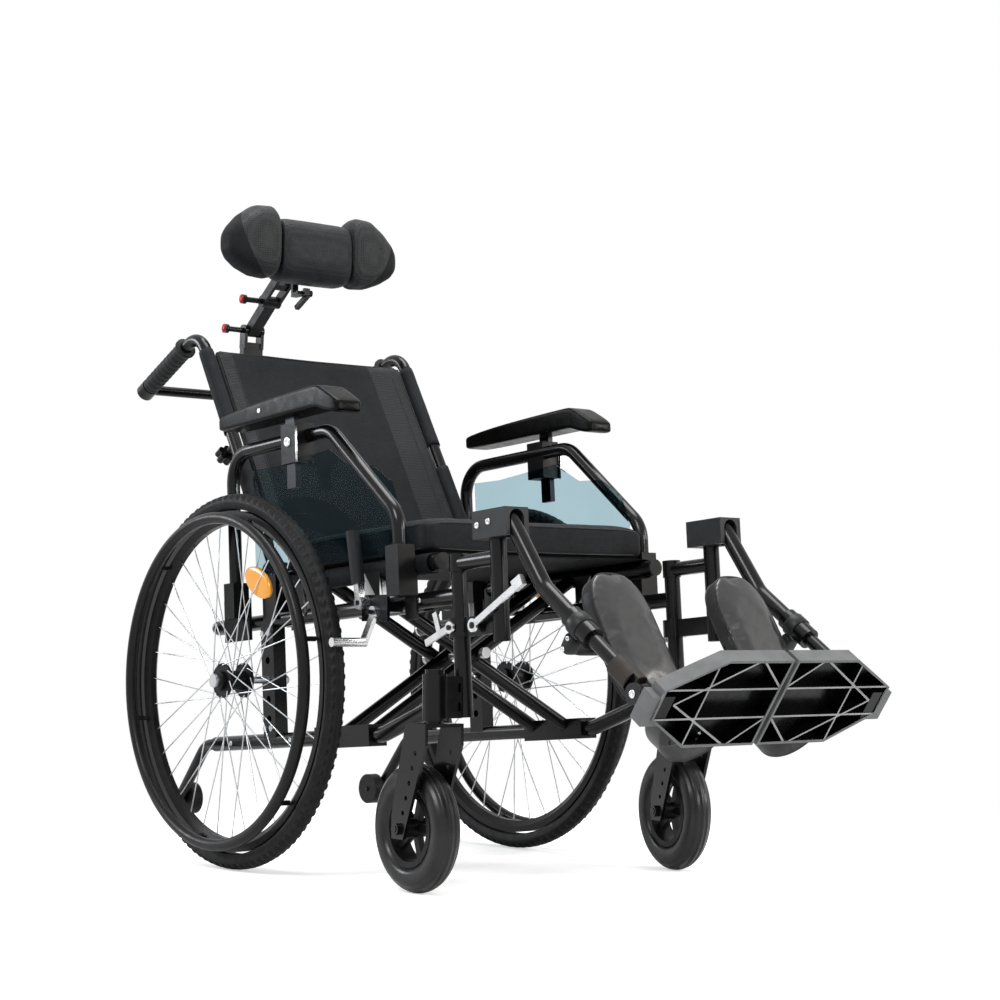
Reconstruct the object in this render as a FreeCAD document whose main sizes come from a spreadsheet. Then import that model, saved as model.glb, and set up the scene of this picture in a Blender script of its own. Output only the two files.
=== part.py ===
import FreeCAD, Part
import math
import os
import Sketcher
from FreeCAD import Placement, Rotation, Vector

# Reclining wheelchair with elevating legrests and a three-piece headrest.
# Millimetres, +X forward, +Y to the user's left, +Z up, floor at zero, origin under the middle of the chair.
# Most pieces are drawn on the user's right, where y is negative, and mirrored to the left.

SIZES = (
    ("axle_x", -262.0, "rear axle, forward of the origin"),
    ("frame_pitch", 4.0, "side frame, degrees nose up"),
    ("wheel_radius", 305.0, "rear wheel, over the tyre"),
    ("wheel_out", 79.5, "middle plane of a rear wheel, outboard of the side frame"),
    ("tyre_section", 34.0, "rear tyre, across"),
    ("rim_radius", 276.0, "rear rim, at the tyre's seat"),
    ("rim_depth", 20.0, "rear rim, along the radius"),
    ("rim_width", 25.0, "rear rim, across"),
    ("rim_wall", 2.5, "rear rim, wall"),
    ("hub_radius", 16.0, "rear hub, barrel"),
    ("hub_length", 58.0, "rear hub, along the axle"),
    ("flange_radius", 28.0, "rear hub, spoke flange"),
    ("flange_gap", 40.0, "rear hub, between the flanges' middles"),
    ("flange_thick", 4.0, "rear hub, spoke flange"),
    ("spoke_radius", 1.0, "rear wheel spoke"),
    ("spoke_count", 36.0, "spokes in a rear wheel"),
    ("spoke_lead", 60.0, "degrees from a spoke's hub end to its rim end"),
    ("axle_radius", 6.0, "rear axle bolt"),
    ("handrim_radius", 263.5, "handrim, to the middle of its tube"),
    ("handrim_tube", 9.5, "handrim, radius of its tube"),
    ("handrim_reach", 39.0, "handrim, outboard of the wheel's middle"),
    ("handrim_tabs", 6.0, "stand-offs of a handrim"),
    ("rail_y", 217.0, "side frame tubes from the middle of the chair"),
    ("rail_od", 25.0, "side frame tube, outside"),
    ("tube_wall", 2.0, "wall of every tube"),
    ("lower_rail_w", -100.0, "lower rail, from the axle square to the frame"),
    ("upper_rail_w", 97.0, "upper rail, from the axle square to the frame"),
    ("lower_rail_rear", -185.0, "lower rail, rear end along the frame"),
    ("upper_rail_rear", -165.0, "upper rail, rear end along the frame"),
    ("lower_bend_u", 300.0, "lower rail, where it starts to rise"),
    ("lower_front_w", -44.0, "lower rail, height where it meets the upright"),
    ("upright_u", 504.5, "front upright along the frame"),
    ("upright_bottom", -82.0, "front upright, lower end"),
    ("upright_top", 132.0, "front upright, upper end"),
    ("axle_bar_length", 36.0, "axle bar, along the frame"),
    ("axle_bar_width", 24.0, "axle bar, across"),
    ("axle_step", 32.0, "axle bar, between its spare holes"),
    ("brace_od", 22.0, "cross brace tube, outside"),
    ("brace_u", 157.0, "rear tube of the cross brace along the frame"),
    ("brace_pitch", 80.0, "between the two tubes of one brace"),
    ("brace_step", 28.0, "between neighbouring tubes of the two braces"),
    ("sleeve_side", 34.0, "brace foot, square section"),
    ("seat_rail_w", 152.0, "seat rail, from the axle square to the frame"),
    ("seat_rail_rear", 46.0, "seat rail, rear end along the frame"),
    ("seat_rail_front", 464.0, "seat rail, front end along the frame"),
    ("sling_thick", 3.0, "seat sling"),
    ("cushion_rear", 42.0, "seat cushion, rear along the frame"),
    ("cushion_front", 446.0, "seat cushion, front along the frame"),
    ("cushion_out", 11.0, "side of the seat cushion, outboard of the side frame"),
    ("cushion_thick", 54.0, "seat cushion, at its edge"),
    ("arm_out", 32.0, "armrest tubes, outboard of the side frame"),
    ("arm_od", 22.0, "armrest tube, outside"),
    ("arm_rear", -58.0, "armrest, rear post along the frame"),
    ("arm_front", 403.0, "armrest, front post along the frame"),
    ("arm_top", 382.0, "armrest tube, top run from the axle"),
    ("arm_slope_u", 232.0, "armrest tube, where the front slope starts"),
    ("arm_slope_w", 228.0, "armrest tube, where the front slope ends"),
    ("arm_bend", 52.0, "armrest tube, bend radius"),
    ("panel_thick", 3.7, "side panel"),
    ("post_u", 151.0, "arm pad post along the frame"),
    ("post_length", 24.0, "arm pad post, along the frame"),
    ("post_width", 10.0, "arm pad post, across"),
    ("post_out", 50.0, "arm pad post, outboard of the side frame"),
    ("pad_out", 45.0, "arm pad, outboard of the side frame"),
    ("pad_half", 26.5, "arm pad, half its width"),
    ("pad_bottom", 414.0, "arm pad, underside from the axle"),
    ("pad_top", 448.0, "arm pad, top from the axle"),
    ("pad_rear", -44.0, "arm pad, rear end along the frame"),
    ("pad_front", 306.0, "arm pad, tip of its nose along the frame"),
    ("recline_u", 17.0, "recline pivot along the frame"),
    ("recline_w", 174.0, "recline pivot from the axle"),
    ("recline_pin", 6.0, "recline pin, radius"),
    ("hinge_plate", 5.0, "recline hinge plate, thickness"),
    ("back_lean", 30.4, "back canes, degrees behind upright"),
    ("cane_od", 22.0, "back cane, outside"),
    ("cane_length", 498.0, "back cane, pivot to the handle's corner"),
    ("handle_length", 207.0, "push handle, corner to its end"),
    ("handle_drop", 25.5, "push handle, degrees below level"),
    ("grip_radius", 17.0, "push grip"),
    ("grip_start", 58.0, "push grip, from the handle's corner"),
    ("grip_length", 128.0, "push grip"),
    ("cross_bar_radius", 9.0, "bar between the push handles"),
    ("back_bottom", 62.0, "back upholstery, lower edge up the cane"),
    ("back_drop", 36.0, "back upholstery, upper edge below the corner of the push handle"),
    ("back_thick", 17.0, "back upholstery panel"),
    ("sleeve_wall", 2.4, "upholstery sleeve round a cane"),
    ("lever_length", 79.0, "recline lever below the pivot"),
    ("gas_out", -36.0, "gas spring, outboard of the side frame"),
    ("gas_radius", 11.0, "gas spring cylinder"),
    ("gas_rod", 5.0, "gas spring rod, radius"),
    ("head_pivot_x", -418.0, "headrest lower pivot, from the axle"),
    ("head_pivot_z", 950.0, "headrest lower pivot, above the floor"),
    ("head_joint_x", -358.0, "headrest middle pivot, from the axle"),
    ("head_joint_z", 998.0, "headrest middle pivot, above the floor"),
    ("head_mount_x", -292.0, "headrest upper pivot, from the axle"),
    ("head_mount_z", 1048.0, "headrest upper pivot, above the floor"),
    ("head_pin", 5.0, "headrest pivot pins, radius"),
    ("roll_x", -230.0, "headrest roll, middle from the axle"),
    ("roll_z", 1071.0, "headrest roll, middle above the floor"),
    ("roll_half", 76.0, "headrest roll, half its width"),
    ("roll_height", 124.0, "headrest roll"),
    ("roll_depth", 84.0, "headrest roll"),
    ("wing_length", 104.0, "headrest wing"),
    ("wing_sweep", 4.0, "headrest wing, degrees forward"),
    ("caster_stem_x", 488.0, "caster stem, forward of the rear axle"),
    ("caster_out", 40.0, "caster stem, outboard of the side frame"),
    ("caster_radius", 95.5, "caster wheel"),
    ("caster_section", 44.0, "caster tyre, across"),
    ("caster_trail", 45.0, "caster axle behind its stem"),
    ("caster_bolt", 5.0, "caster axle bolt, radius"),
    ("caster_seat", 58.0, "caster hub, at the tyre's seat"),
    ("stem_radius", 9.0, "caster stem"),
    ("housing_radius", 18.0, "caster housing"),
    ("housing_bottom", 254.0, "caster housing, above the floor"),
    ("housing_top", 322.0, "caster housing, above the floor"),
    ("fork_bar", 5.0, "caster fork, thickness of its bars"),
    ("fork_half", 29.0, "caster fork, inside of a leg from its middle"),
    ("swivel_right", -3.0, "right caster, degrees turned at rest"),
    ("swivel_left", -13.6, "left caster, degrees turned at rest"),
    ("tip_play", 1.0, "anti-tip tube in the lower rail, gap all round"),
    ("tip_wheel_x", -298.0, "anti-tip wheel, from the rear axle"),
    ("tip_wheel_z", 93.0, "anti-tip wheel, above the floor"),
    ("tip_wheel_radius", 27.0, "anti-tip wheel"),
    ("hanger_u", 597.0, "legrest hanger tube along the frame"),
    ("hanger_bottom", 24.0, "legrest hanger tube, lower end"),
    ("hanger_out", -1.0, "legrest, outboard of the side frame"),
    ("block_top", 214.0, "legrest block, top"),
    ("block_bottom", 173.0, "legrest block, underside"),
    ("knee_u", 628.0, "legrest elevating pivot along the frame"),
    ("knee_w", 198.0, "legrest elevating pivot from the axle"),
    ("knee_pin", 6.0, "legrest elevating pivot, radius"),
    ("thigh_pitch", -53.0, "legrest tube, upper run in degrees"),
    ("thigh_length", 126.0, "legrest tube, pivot to its bend"),
    ("leg_pitch", -35.0, "legrest tube, lower run in degrees"),
    ("leg_length", 125.0, "legrest tube, lower run"),
    ("leg_od", 25.0, "legrest tube, outside"),
    ("foot_play", 0.05, "footrest tube in the legrest tube, gap all round"),
    ("ankle_reach", 245.0, "ankle pivot down the leg from the bend"),
    ("ankle_drop", -5.0, "ankle pivot, off the leg's line"),
    ("ankle_pin", 8.0, "ankle pivot, radius"),
    ("plate_start", 262.0, "footplate, nearer face down the leg from the bend"),
    ("plate_thick", 25.0, "footplate, over its ribs"),
    ("plate_sole", 4.0, "footplate, sole"),
    ("plate_rib", 3.0, "footplate rib"),
    ("plate_inner", 4.0, "footplate, inner edge from the middle of the chair"),
    ("plate_out", 5.0, "footplate, outer edge outboard of the side frame"),
    ("plate_toe", 78.0, "footplate, toe edge off the leg's line"),
    ("plate_heel", -66.0, "footplate, heel edge off the leg's line"),
    ("calf_out", -95.0, "calf pad, outboard of the side frame"),
    ("calf_half", 59.0, "calf pad, half its width"),
    ("calf_length", 204.0, "calf pad"),
    ("calf_thick", 38.0, "calf pad"),
    ("calf_pitch", -58.0, "calf pad, in degrees"),
    ("calf_back", -29.0, "calf pad, its back off the legrest tube's line"),
    ("strap_width", 38.0, "heel strap"),
    ("strap_thick", 3.0, "heel strap"),
    ("brake_out", 55.0, "brake lever, outboard of the side frame"),
    ("brake_pin", 4.0, "brake pivots, radius"),
    ("shoe_radius", 7.0, "brake shoe bar"),
    ("fit", 0.06, "radial clearance of a running fit"),
    ("gap", 0.3, "clearance between pieces that rest side by side"),
)


def text_of(number):
    return number.formula if isinstance(number, Size) else repr(float(number))


class Size:
    """A length that keeps the sheet formula it was worked out with."""

    def __init__(self, value, formula):
        self.value = float(value)
        self.formula = formula

    def __float__(self):
        return self.value

    def __add__(self, other):
        return Size(self.value + float(other), f"({self.formula} + {text_of(other)})")

    def __radd__(self, other):
        return Size(float(other) + self.value, f"({text_of(other)} + {self.formula})")

    def __sub__(self, other):
        return Size(self.value - float(other), f"({self.formula} - {text_of(other)})")

    def __rsub__(self, other):
        return Size(float(other) - self.value, f"({text_of(other)} - {self.formula})")

    def __mul__(self, other):
        return Size(self.value * float(other), f"({self.formula} * {text_of(other)})")

    __rmul__ = __mul__

    def __truediv__(self, other):
        return Size(self.value / float(other), f"({self.formula} / {text_of(other)})")

    def __neg__(self):
        return Size(-self.value, f"(-{self.formula})")


class Sheet:
    """The driving dimensions, each reached by its alias."""

    def __init__(self, document):
        table = document.addObject("Spreadsheet::Sheet", "Sizes")
        for row, (alias, value, meaning) in enumerate(SIZES, start=1):
            table.set(f"A{row}", alias)
            table.set(f"B{row}", str(value))
            table.setAlias(f"B{row}", alias)
            table.set(f"C{row}", meaning)
            setattr(self, alias, Size(value, f"Sizes.{alias}"))


class Frame:
    """A place and a pitch: x runs forward along it, y to the user's left, z square to both."""

    def __init__(self, origin, pitch=0.0):
        self.origin = origin
        self.pitch = float(pitch)
        angle = math.radians(self.pitch)
        self.x = Vector(math.cos(angle), 0, math.sin(angle))
        self.y = Vector(0, 1, 0)
        self.z = Vector(-math.sin(angle), 0, math.cos(angle))

    def at(self, x, y, z):
        return self.origin + self.x * float(x) + self.y * float(y) + self.z * float(z)

    def place(self, x=0, y=0, z=0, turn=None):
        rotation = Rotation(Vector(0, 1, 0), -self.pitch)
        if turn is not None:
            rotation = rotation.multiply(turn)
        return Placement(self.at(x, y, z), rotation)


doc = FreeCAD.newDocument("RecliningWheelchair")
d = Sheet(doc)
doc.recompute()
nodes = {}

ground = Frame(Vector(float(d.axle_x), 0, 0))
chassis = Frame(ground.at(0, 0, d.wheel_radius), d.frame_pitch)
back = Frame(chassis.at(d.recline_u, 0, d.recline_w), d.back_lean)
handle = Frame(back.at(0, 0, d.cane_length), 180 + float(d.handle_drop))
thigh = Frame(chassis.at(d.knee_u, 0, d.knee_w), d.thigh_pitch)
leg = Frame(thigh.at(d.thigh_length, 0, 0), d.leg_pitch)

TURN = {
    "x": Rotation(Vector(0, 0, 1), Vector(1, 0, 0)),
    "y": Rotation(Vector(0, 0, 1), Vector(0, 1, 0)),
    "z": Rotation(),
}


def measure(item, prop, amount):
    """Sets one size of a document object, bound to the sheet where it comes from there."""
    if isinstance(amount, Size):
        item.setExpression(prop, amount.formula)
    else:
        setattr(item, prop, float(amount))


def node(label, item):
    item.Label = label
    nodes[label] = item
    return item


def block(frame, x, y, z):
    """A box between two values of each coordinate of a frame."""
    item = doc.addObject("Part::Box", "Block")
    for prop, (low, high) in (("Length", x), ("Width", y), ("Height", z)):
        measure(item, prop, high - low)
    item.Placement = frame.place(x[0], y[0], z[0])
    return item


def along(axis, value, across):
    """Coordinates of a point given by its place along an axis and across it."""
    first, second = across
    return {
        "x": (value, first, second),
        "y": (first, value, second),
        "z": (first, second, value),
    }[axis]


def rod(frame, axis, span, across, radius):
    """A cylinder along one axis of a frame."""
    item = doc.addObject("Part::Cylinder", "Rod")
    measure(item, "Radius", radius)
    measure(item, "Height", span[1] - span[0])
    item.Placement = frame.place(*along(axis, span[0], across), TURN[axis])
    return item


def ring(frame, axis, at, across, major, minor):
    """A torus round one axis of a frame."""
    item = doc.addObject("Part::Torus", "Ring")
    measure(item, "Radius1", major)
    measure(item, "Radius2", minor)
    item.Placement = frame.place(*along(axis, at, across), TURN[axis])
    return item


def fuse(*items):
    if len(items) == 1:
        return items[0]
    item = doc.addObject("Part::MultiFuse", "Joined")
    item.Shapes = list(items)
    return item


def cut(base, *tools):
    item = doc.addObject("Part::Cut", "Cut")
    item.Base = base
    item.Tool = fuse(*tools)
    return item


def group(*items):
    item = doc.addObject("Part::Compound", "Group")
    item.Links = list(items)
    return item


def mirrored(source):
    """The same piece on the other side of the chair."""
    item = doc.addObject("Part::Mirroring", "Mirrored")
    item.Source = source
    item.Normal = (0, 1, 0)
    return item


def pair(label, right):
    """A piece of each side of the chair in one node."""
    return node(label, group(right, mirrored(right)))


def both(name, right):
    """A node for each side of the chair."""
    node(f"right_{name}", right)
    node(f"left_{name}", mirrored(right))


def route(points, bend):
    """Straight runs through the points, joined by arcs of one radius."""
    edges = []
    start = points[0]
    for before, corner, after in zip(points, points[1:], points[2:]):
        arriving = (corner - before).normalize()
        leaving = (after - corner).normalize()
        turn = arriving.getAngle(leaving)
        reach = float(bend) * math.tan(turn / 2)
        first = corner - arriving * reach
        last = corner + leaving * reach
        inward = (leaving - arriving).normalize()
        middle = corner + inward * (float(bend) * (1 / math.cos(turn / 2) - 1))
        edges.append(Part.LineSegment(start, first).toShape())
        edges.append(Part.Arc(first, middle, last).toShape())
        start = last
    edges.append(Part.LineSegment(start, points[-1]).toShape())
    return Part.Wire(edges)


def bar(points, radius, bend=0):
    """A round bar along a route."""
    spine = doc.addObject("Part::Feature", "Route")
    spine.Shape = route(points, bend)
    section = doc.addObject("Part::Circle", "Section")
    measure(section, "Radius", radius)
    section.Placement = Placement(points[0], Rotation(Vector(0, 0, 1), points[1] - points[0]))
    item = doc.addObject("Part::Sweep", "Bar")
    item.Sections = [section]
    item.Spine = (spine, [])
    item.Solid = True
    return item


def tubing(routes, outside, bend=0):
    """Tubes welded where they meet, with their bores open to each other."""
    solid = [bar(points, outside / 2, bend) for points in routes]
    bores = [bar(points, outside / 2 - d.tube_wall, bend) for points in routes]
    return fuse(*solid), fuse(*bores)


def sketched(body, role, outline):
    """A closed outline of straight lines whose corners are bound to the sheet."""
    plane = next(feature for feature in body.Origin.OriginFeatures if feature.Role == role)
    sketch = body.newObject("Sketcher::SketchObject", "Outline")
    sketch.AttachmentSupport = [(plane, "")]
    sketch.MapMode = "FlatFace"
    corners = [Vector(float(across), float(up), 0) for across, up in outline]
    count = len(corners)
    for index, corner in enumerate(corners):
        sketch.addGeometry(Part.LineSegment(corner, corners[(index + 1) % count]))
    for index in range(count):
        sketch.addConstraint(Sketcher.Constraint("Coincident", index, 2, (index + 1) % count, 1))
    for index, corner in enumerate(outline):
        for kind, axis, amount in (("DistanceX", -2, corner[0]), ("DistanceY", -1, corner[1])):
            if float(amount) == 0:
                sketch.addConstraint(Sketcher.Constraint("PointOnObject", index, 1, axis))
                continue
            number = sketch.addConstraint(Sketcher.Constraint(kind, -1, 1, index, 1, float(amount)))
            if isinstance(amount, Size):
                sketch.setExpression(f"Constraints[{number}]", amount.formula)
    return sketch


def turned(place, outline):
    """A piece turned round the y axis: each corner is a radius and a place along the axis."""
    body = doc.addObject("PartDesign::Body", "Turned")
    revolution = body.newObject("PartDesign::Revolution", "Revolution")
    revolution.Profile = sketched(body, "XY_Plane", outline)
    revolution.ReferenceAxis = (revolution.Profile[0], ["V_Axis"])
    revolution.Angle = 360
    body.Placement = place
    return body


def plate(place, outline, thick):
    """A plate in the x-z plane, from its place towards the user's right."""
    body = doc.addObject("PartDesign::Body", "Plate")
    pad = body.newObject("PartDesign::Pad", "Pad")
    pad.Profile = sketched(body, "XZ_Plane", outline)
    measure(pad, "Length", thick)
    body.Placement = place
    return body


def shaped(shape):
    """A free form made by a loft or an extrusion."""
    item = doc.addObject("Part::Feature", "Form")
    item.Shape = shape
    return item


def arc(first, middle, last):
    return Part.Arc(first, middle, last).toShape()


def pillow_wire(centre, across, up, half, low, high, bulge, crown):
    """A cushion's section: drawn-in corners, sides that bulge and a crowned face."""

    def corner(sideways, height):
        return centre + across * sideways + up * height

    half, low, high = float(half), float(low), float(high)
    tuck = (high - low) * 0.22
    middle = (low + high) / 2
    corners = [corner(-half, low + tuck), corner(half, low + tuck)]
    corners += [corner(half, high - tuck), corner(-half, high - tuck)]
    crowns = [corner(0, low), corner(half + bulge, middle)]
    crowns += [corner(0, high + crown), corner(-half - bulge, middle)]
    return Part.Wire([arc(corners[i], crowns[i], corners[(i + 1) % 4]) for i in range(4)])


def pillow(stations):
    """A cushion lofted through its sections."""
    return shaped(Part.makeLoft([pillow_wire(*station) for station in stations], True, True))


def side_frames():
    y = -d.rail_y
    lower = [
        chassis.at(d.lower_rail_rear, y, d.lower_rail_w),
        chassis.at(d.lower_bend_u, y, d.lower_rail_w),
        chassis.at(d.upright_u, y, d.lower_front_w),
    ]
    upper = [chassis.at(u, y, d.upper_rail_w) for u in (d.upper_rail_rear, d.upright_u)]
    upright = [chassis.at(d.upright_u, y, w) for w in (d.upright_bottom, d.upright_top)]
    tubes, bores = tubing([lower, upper, upright], d.rail_od, bend=70)
    half = d.axle_bar_length / 2
    across = (y - d.axle_bar_width / 2, y + d.axle_bar_width / 2)
    axle_bar = block(chassis, (-half, half), across, (d.lower_rail_w, d.upper_rail_w))
    plates = []
    for side in (-1, 1):
        near = y + side * (d.cane_od / 2 + 0.5)
        far = near + side * d.hinge_plate
        span = (near, far) if side > 0 else (far, near)
        plates.append(block(
            chassis, (d.recline_u - 20, d.recline_u + 20), span, (d.upper_rail_w, d.recline_w)))
        plates.append(rod(chassis, "y", span, (d.recline_u, d.recline_w), 20))
    hole = d.axle_radius + d.fit
    reach = (y - 40, y + 40)
    tools = [rod(chassis, "y", reach, (0, d.axle_step * step), hole) for step in (-2, -1, 0, 1, 2)]
    tools.append(rod(chassis, "y", reach, (d.recline_u, d.recline_w), d.recline_pin + d.fit))
    pair("side_frames", cut(fuse(tubes, axle_bar, *plates), bores, *tools))


def cross_brace(label, side, first_u):
    """One brace of the X: its foot on one lower rail, the seat rail of the other side at its head."""
    foot_y = side * d.rail_y
    head_y = -side * d.rail_y
    stations = [first_u, first_u + d.brace_pitch]
    routes = [
        [chassis.at(u, foot_y, d.lower_rail_w), chassis.at(u, head_y, d.seat_rail_w)] for u in stations]
    tubes, bores = tubing(routes, d.brace_od)
    half = d.sleeve_side / 2
    length = (d.brace_u - 20, d.brace_u + d.brace_pitch + d.brace_step + 20)
    sleeve = block(
        chassis, length, (foot_y - half, foot_y + half), (d.lower_rail_w - half, d.lower_rail_w + half))
    rail_span = (d.seat_rail_rear, d.seat_rail_front)
    rail = rod(chassis, "x", rail_span, (head_y, d.seat_rail_w), d.rail_od / 2)
    rail_bore = rod(chassis, "x", rail_span, (head_y, d.seat_rail_w), d.rail_od / 2 - d.tube_wall)
    sleeve_bore = rod(chassis, "x", length, (foot_y, d.lower_rail_w), d.rail_od / 2 + d.gap)
    middle_w = (d.lower_rail_w + d.seat_rail_w) / 2
    bolt_hole = rod(chassis, "x", length, (0, middle_w), d.brace_pin_hole)
    node(label, cut(fuse(tubes, sleeve, rail), bores, rail_bore, sleeve_bore, bolt_hole))


def seat():
    low = d.seat_rail_w + d.rail_od / 2 + d.gap
    half = d.rail_y + d.rail_od / 2 - 6
    node("seat_sling", block(
        chassis, (d.seat_rail_rear, d.seat_rail_front - 14), (-half, half), (low, low + d.sling_thick)))
    bottom = low + d.sling_thick + d.gap
    stations = []
    rear = float(d.cushion_rear)
    front = float(d.cushion_front)
    for u, inset, drop in (
            (rear, 12, 11), (rear + 5, 6, 6), (rear + 14, 2, 3), (rear + 40, 0, 0),
            (front - 60, 0, 0), (front - 18, 2, 3), (front - 6, 6, 7), (front, 12, 14)):
        stations.append((
            chassis.at(u, 0, bottom), chassis.y, chassis.z,
            d.cushion_half - inset, 0, d.cushion_thick - drop, 3, 7))
    node("seat_cushion", pillow(stations))


def frame_fittings():
    """Axle bolts, the brace pivot, tube plugs, seat rail saddles and bracket screws."""
    y = -d.rail_y
    pieces = []
    reach = d.wheel_y + d.hub_length / 2 + 6
    axle = rod(chassis, "y", (-reach, y + d.axle_bar_width / 2 + 14), (0, 0), d.axle_radius)
    nut = rod(chassis, "y", (y + d.axle_bar_width / 2 + d.gap, y + d.axle_bar_width / 2 + 9), (0, 0), 10)
    head = rod(chassis, "y", (-reach - 4, -reach), (0, 0), 11)
    pieces.append(fuse(axle, nut, head))
    for start, w in ((d.upper_rail_rear, d.upper_rail_w), (d.seat_rail_rear, d.seat_rail_w)):
        cap = rod(chassis, "x", (start - 4, start), (y, w), d.rail_od / 2)
        stub = rod(chassis, "x", (start - 1, start + 14), (y, w), d.rail_od / 2 - d.tube_wall - 0.1)
        pieces.append(fuse(cap, stub))
    cap = rod(chassis, "x", (d.seat_rail_front, d.seat_rail_front + 4), (y, d.seat_rail_w), d.rail_od / 2 + 1)
    stub = rod(
        chassis, "x", (d.seat_rail_front - 14, d.seat_rail_front + 1), (y, d.seat_rail_w),
        d.rail_od / 2 - d.tube_wall - 0.1)
    pieces.append(fuse(cap, stub))
    radius = d.rail_od / 2
    for u in (96, 305):
        saddle = block(
            chassis, (u - 20, u + 20), (y - radius - 3, y + radius + 3),
            (d.upper_rail_w, d.seat_rail_w))
        grooves = [
            rod(chassis, "x", (u - 30, u + 30), (y, w), radius + 0.1)
            for w in (d.upper_rail_w, d.seat_rail_w)]
        pieces.append(cut(saddle, *grooves))
    for w in (d.lower_rail_w + radius + 8, d.upper_rail_w - radius - 8):
        for u in (-9, 9):
            face = y - d.axle_bar_width / 2
            pieces.append(rod(chassis, "y", (face - 4 - d.gap, face - d.gap / 3), (u, w), 5))
    middle_w = (d.lower_rail_w + d.seat_rail_w) / 2
    ends = (d.brace_u - 22, d.brace_u + d.brace_pitch + d.brace_step + 22)
    bolt = rod(chassis, "x", ends, (0, middle_w), d.brace_pin_hole - d.fit)
    heads = [rod(chassis, "x", (end - 4, end + 4), (0, middle_w), 9) for end in ends]
    mirrored_pieces = [mirrored(piece) for piece in pieces]
    node("frame_fittings", group(*pieces, *mirrored_pieces, fuse(bolt, *heads)))


def caster_housings():
    y = -d.caster_y
    top = d.housing_top
    cup = rod(ground, "z", (d.housing_bottom, top), (d.caster_stem_x, y), d.housing_radius)
    crown = rod(ground, "z", (top, top + 7), (d.caster_stem_x, y), d.housing_radius - 4)
    web = block(
        ground, (d.caster_stem_x - 7, d.caster_stem_x + 30), (y, -d.rail_y - d.rail_od / 2 - d.gap / 2),
        (d.housing_bottom + 4, top - 3))
    bore = rod(ground, "z", (d.housing_bottom - 1, top - 4), (d.caster_stem_x, y), d.stem_radius + d.fit)
    slot_y = -d.rail_y - d.rail_od / 2
    slots = [
        block(ground, (d.caster_stem_x - 20, d.caster_stem_x + 60), (slot_y - 7, slot_y - 2), (z, z + 13))
        for z in (d.housing_bottom + 14, d.housing_bottom + 42)]
    pair("caster_housings", cut(fuse(cup, crown, web), bore, *slots))


def armrests():
    y = -d.arm_y
    radius = d.arm_od / 2
    seat_w = d.upper_rail_w + 33
    corners = (
        (d.arm_rear, seat_w), (d.arm_rear, d.arm_top), (d.arm_slope_u, d.arm_top),
        (d.arm_front, d.arm_slope_w), (d.arm_front, seat_w))
    tubes, bores = tubing([[chassis.at(u, y, w) for u, w in corners]], d.arm_od, bend=d.arm_bend)
    pair("armrest_tubes", cut(tubes, bores))
    inner = -d.rail_y - d.rail_od / 2 - d.gap / 2
    pieces = []
    for u, side, top in ((d.arm_front, 16, 182), (d.arm_rear, 15, 164)):
        cup = block(chassis, (u - side, u + side), (y - side, y + side), (d.upper_rail_w + 8, top))
        reach = 12 if u is d.arm_front else 62
        foot = block(
            chassis, (u - reach, u + side), (y + side - 1, inner), (d.upper_rail_w - 28, d.upper_rail_w + 42))
        bore = rod(chassis, "z", (seat_w - d.gap, top + 1), (u, y), radius + d.fit)
        pieces.append(cut(fuse(cup, foot), bore))
    clamp = block(
        chassis, (d.post_u - 21, d.post_u + 21), (-d.post_y - 9, -d.arm_y + radius - 2),
        (d.arm_top - 44, d.arm_top + 20))
    tube_hole = rod(chassis, "x", (d.post_u - 30, d.post_u + 30), (y, d.arm_top), radius + d.fit)
    half = d.post_length / 2 + d.fit * 2
    wide = d.post_width / 2 + d.fit * 2
    post_hole = block(
        chassis, (d.post_u - half, d.post_u + half), (-d.post_y - wide, -d.post_y + wide),
        (d.arm_top - 60, d.arm_top + 40))
    pieces.append(cut(clamp, tube_hole, post_hole))
    pair("armrest_sockets", group(*pieces))
    half = d.post_length / 2
    wide = d.post_width / 2
    both("arm_post", block(
        chassis, (d.post_u - half, d.post_u + half), (-d.post_y - wide, -d.post_y + wide),
        (d.arm_top - 84, d.pad_bottom)))
    nose = float(d.pad_front)
    low = float(d.pad_bottom)
    high = float(d.pad_top)
    stations = []
    for u, inset, bottom, top in (
            (float(d.pad_rear), 5, low + 5, high - 11), (float(d.pad_rear) + 10, 0, low, high - 5),
            (float(d.post_u), 0, low, high), (nose - 60, 0, low, high + 2),
            (nose - 42, 0, low - 4, high - 4), (nose - 8, 1, low - 14, low + 17),
            (nose, 5, low - 10, low + 8)):
        stations.append((
            chassis.at(u, -d.pad_y, 0), chassis.y, chassis.z, d.pad_half - inset - 2, bottom, top, 2, 1.5))
    pad = pillow(stations)
    seat_plane = block(
        chassis, (d.post_u - 40, d.post_u + 40), (-d.pad_y - 60, -d.pad_y + 60), (low - 30, d.pad_bottom))
    both("arm_pad", cut(pad, seat_plane))


def side_panels():
    inner = -d.arm_y + d.arm_od / 2 + d.gap
    low = d.seat_rail_w + 20
    outline = (
        (0, 0), (0, 178), (70, 175), (164, 180), (223, 183), (247, 168), (282, 147), (338, 142), (384, 112),
        (404, 62), (398, 14), (380, 0))
    place = chassis.place(d.arm_rear + 44, inner + d.panel_thick, low)
    pair("side_panels", plate(place, outline, d.panel_thick))


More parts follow.
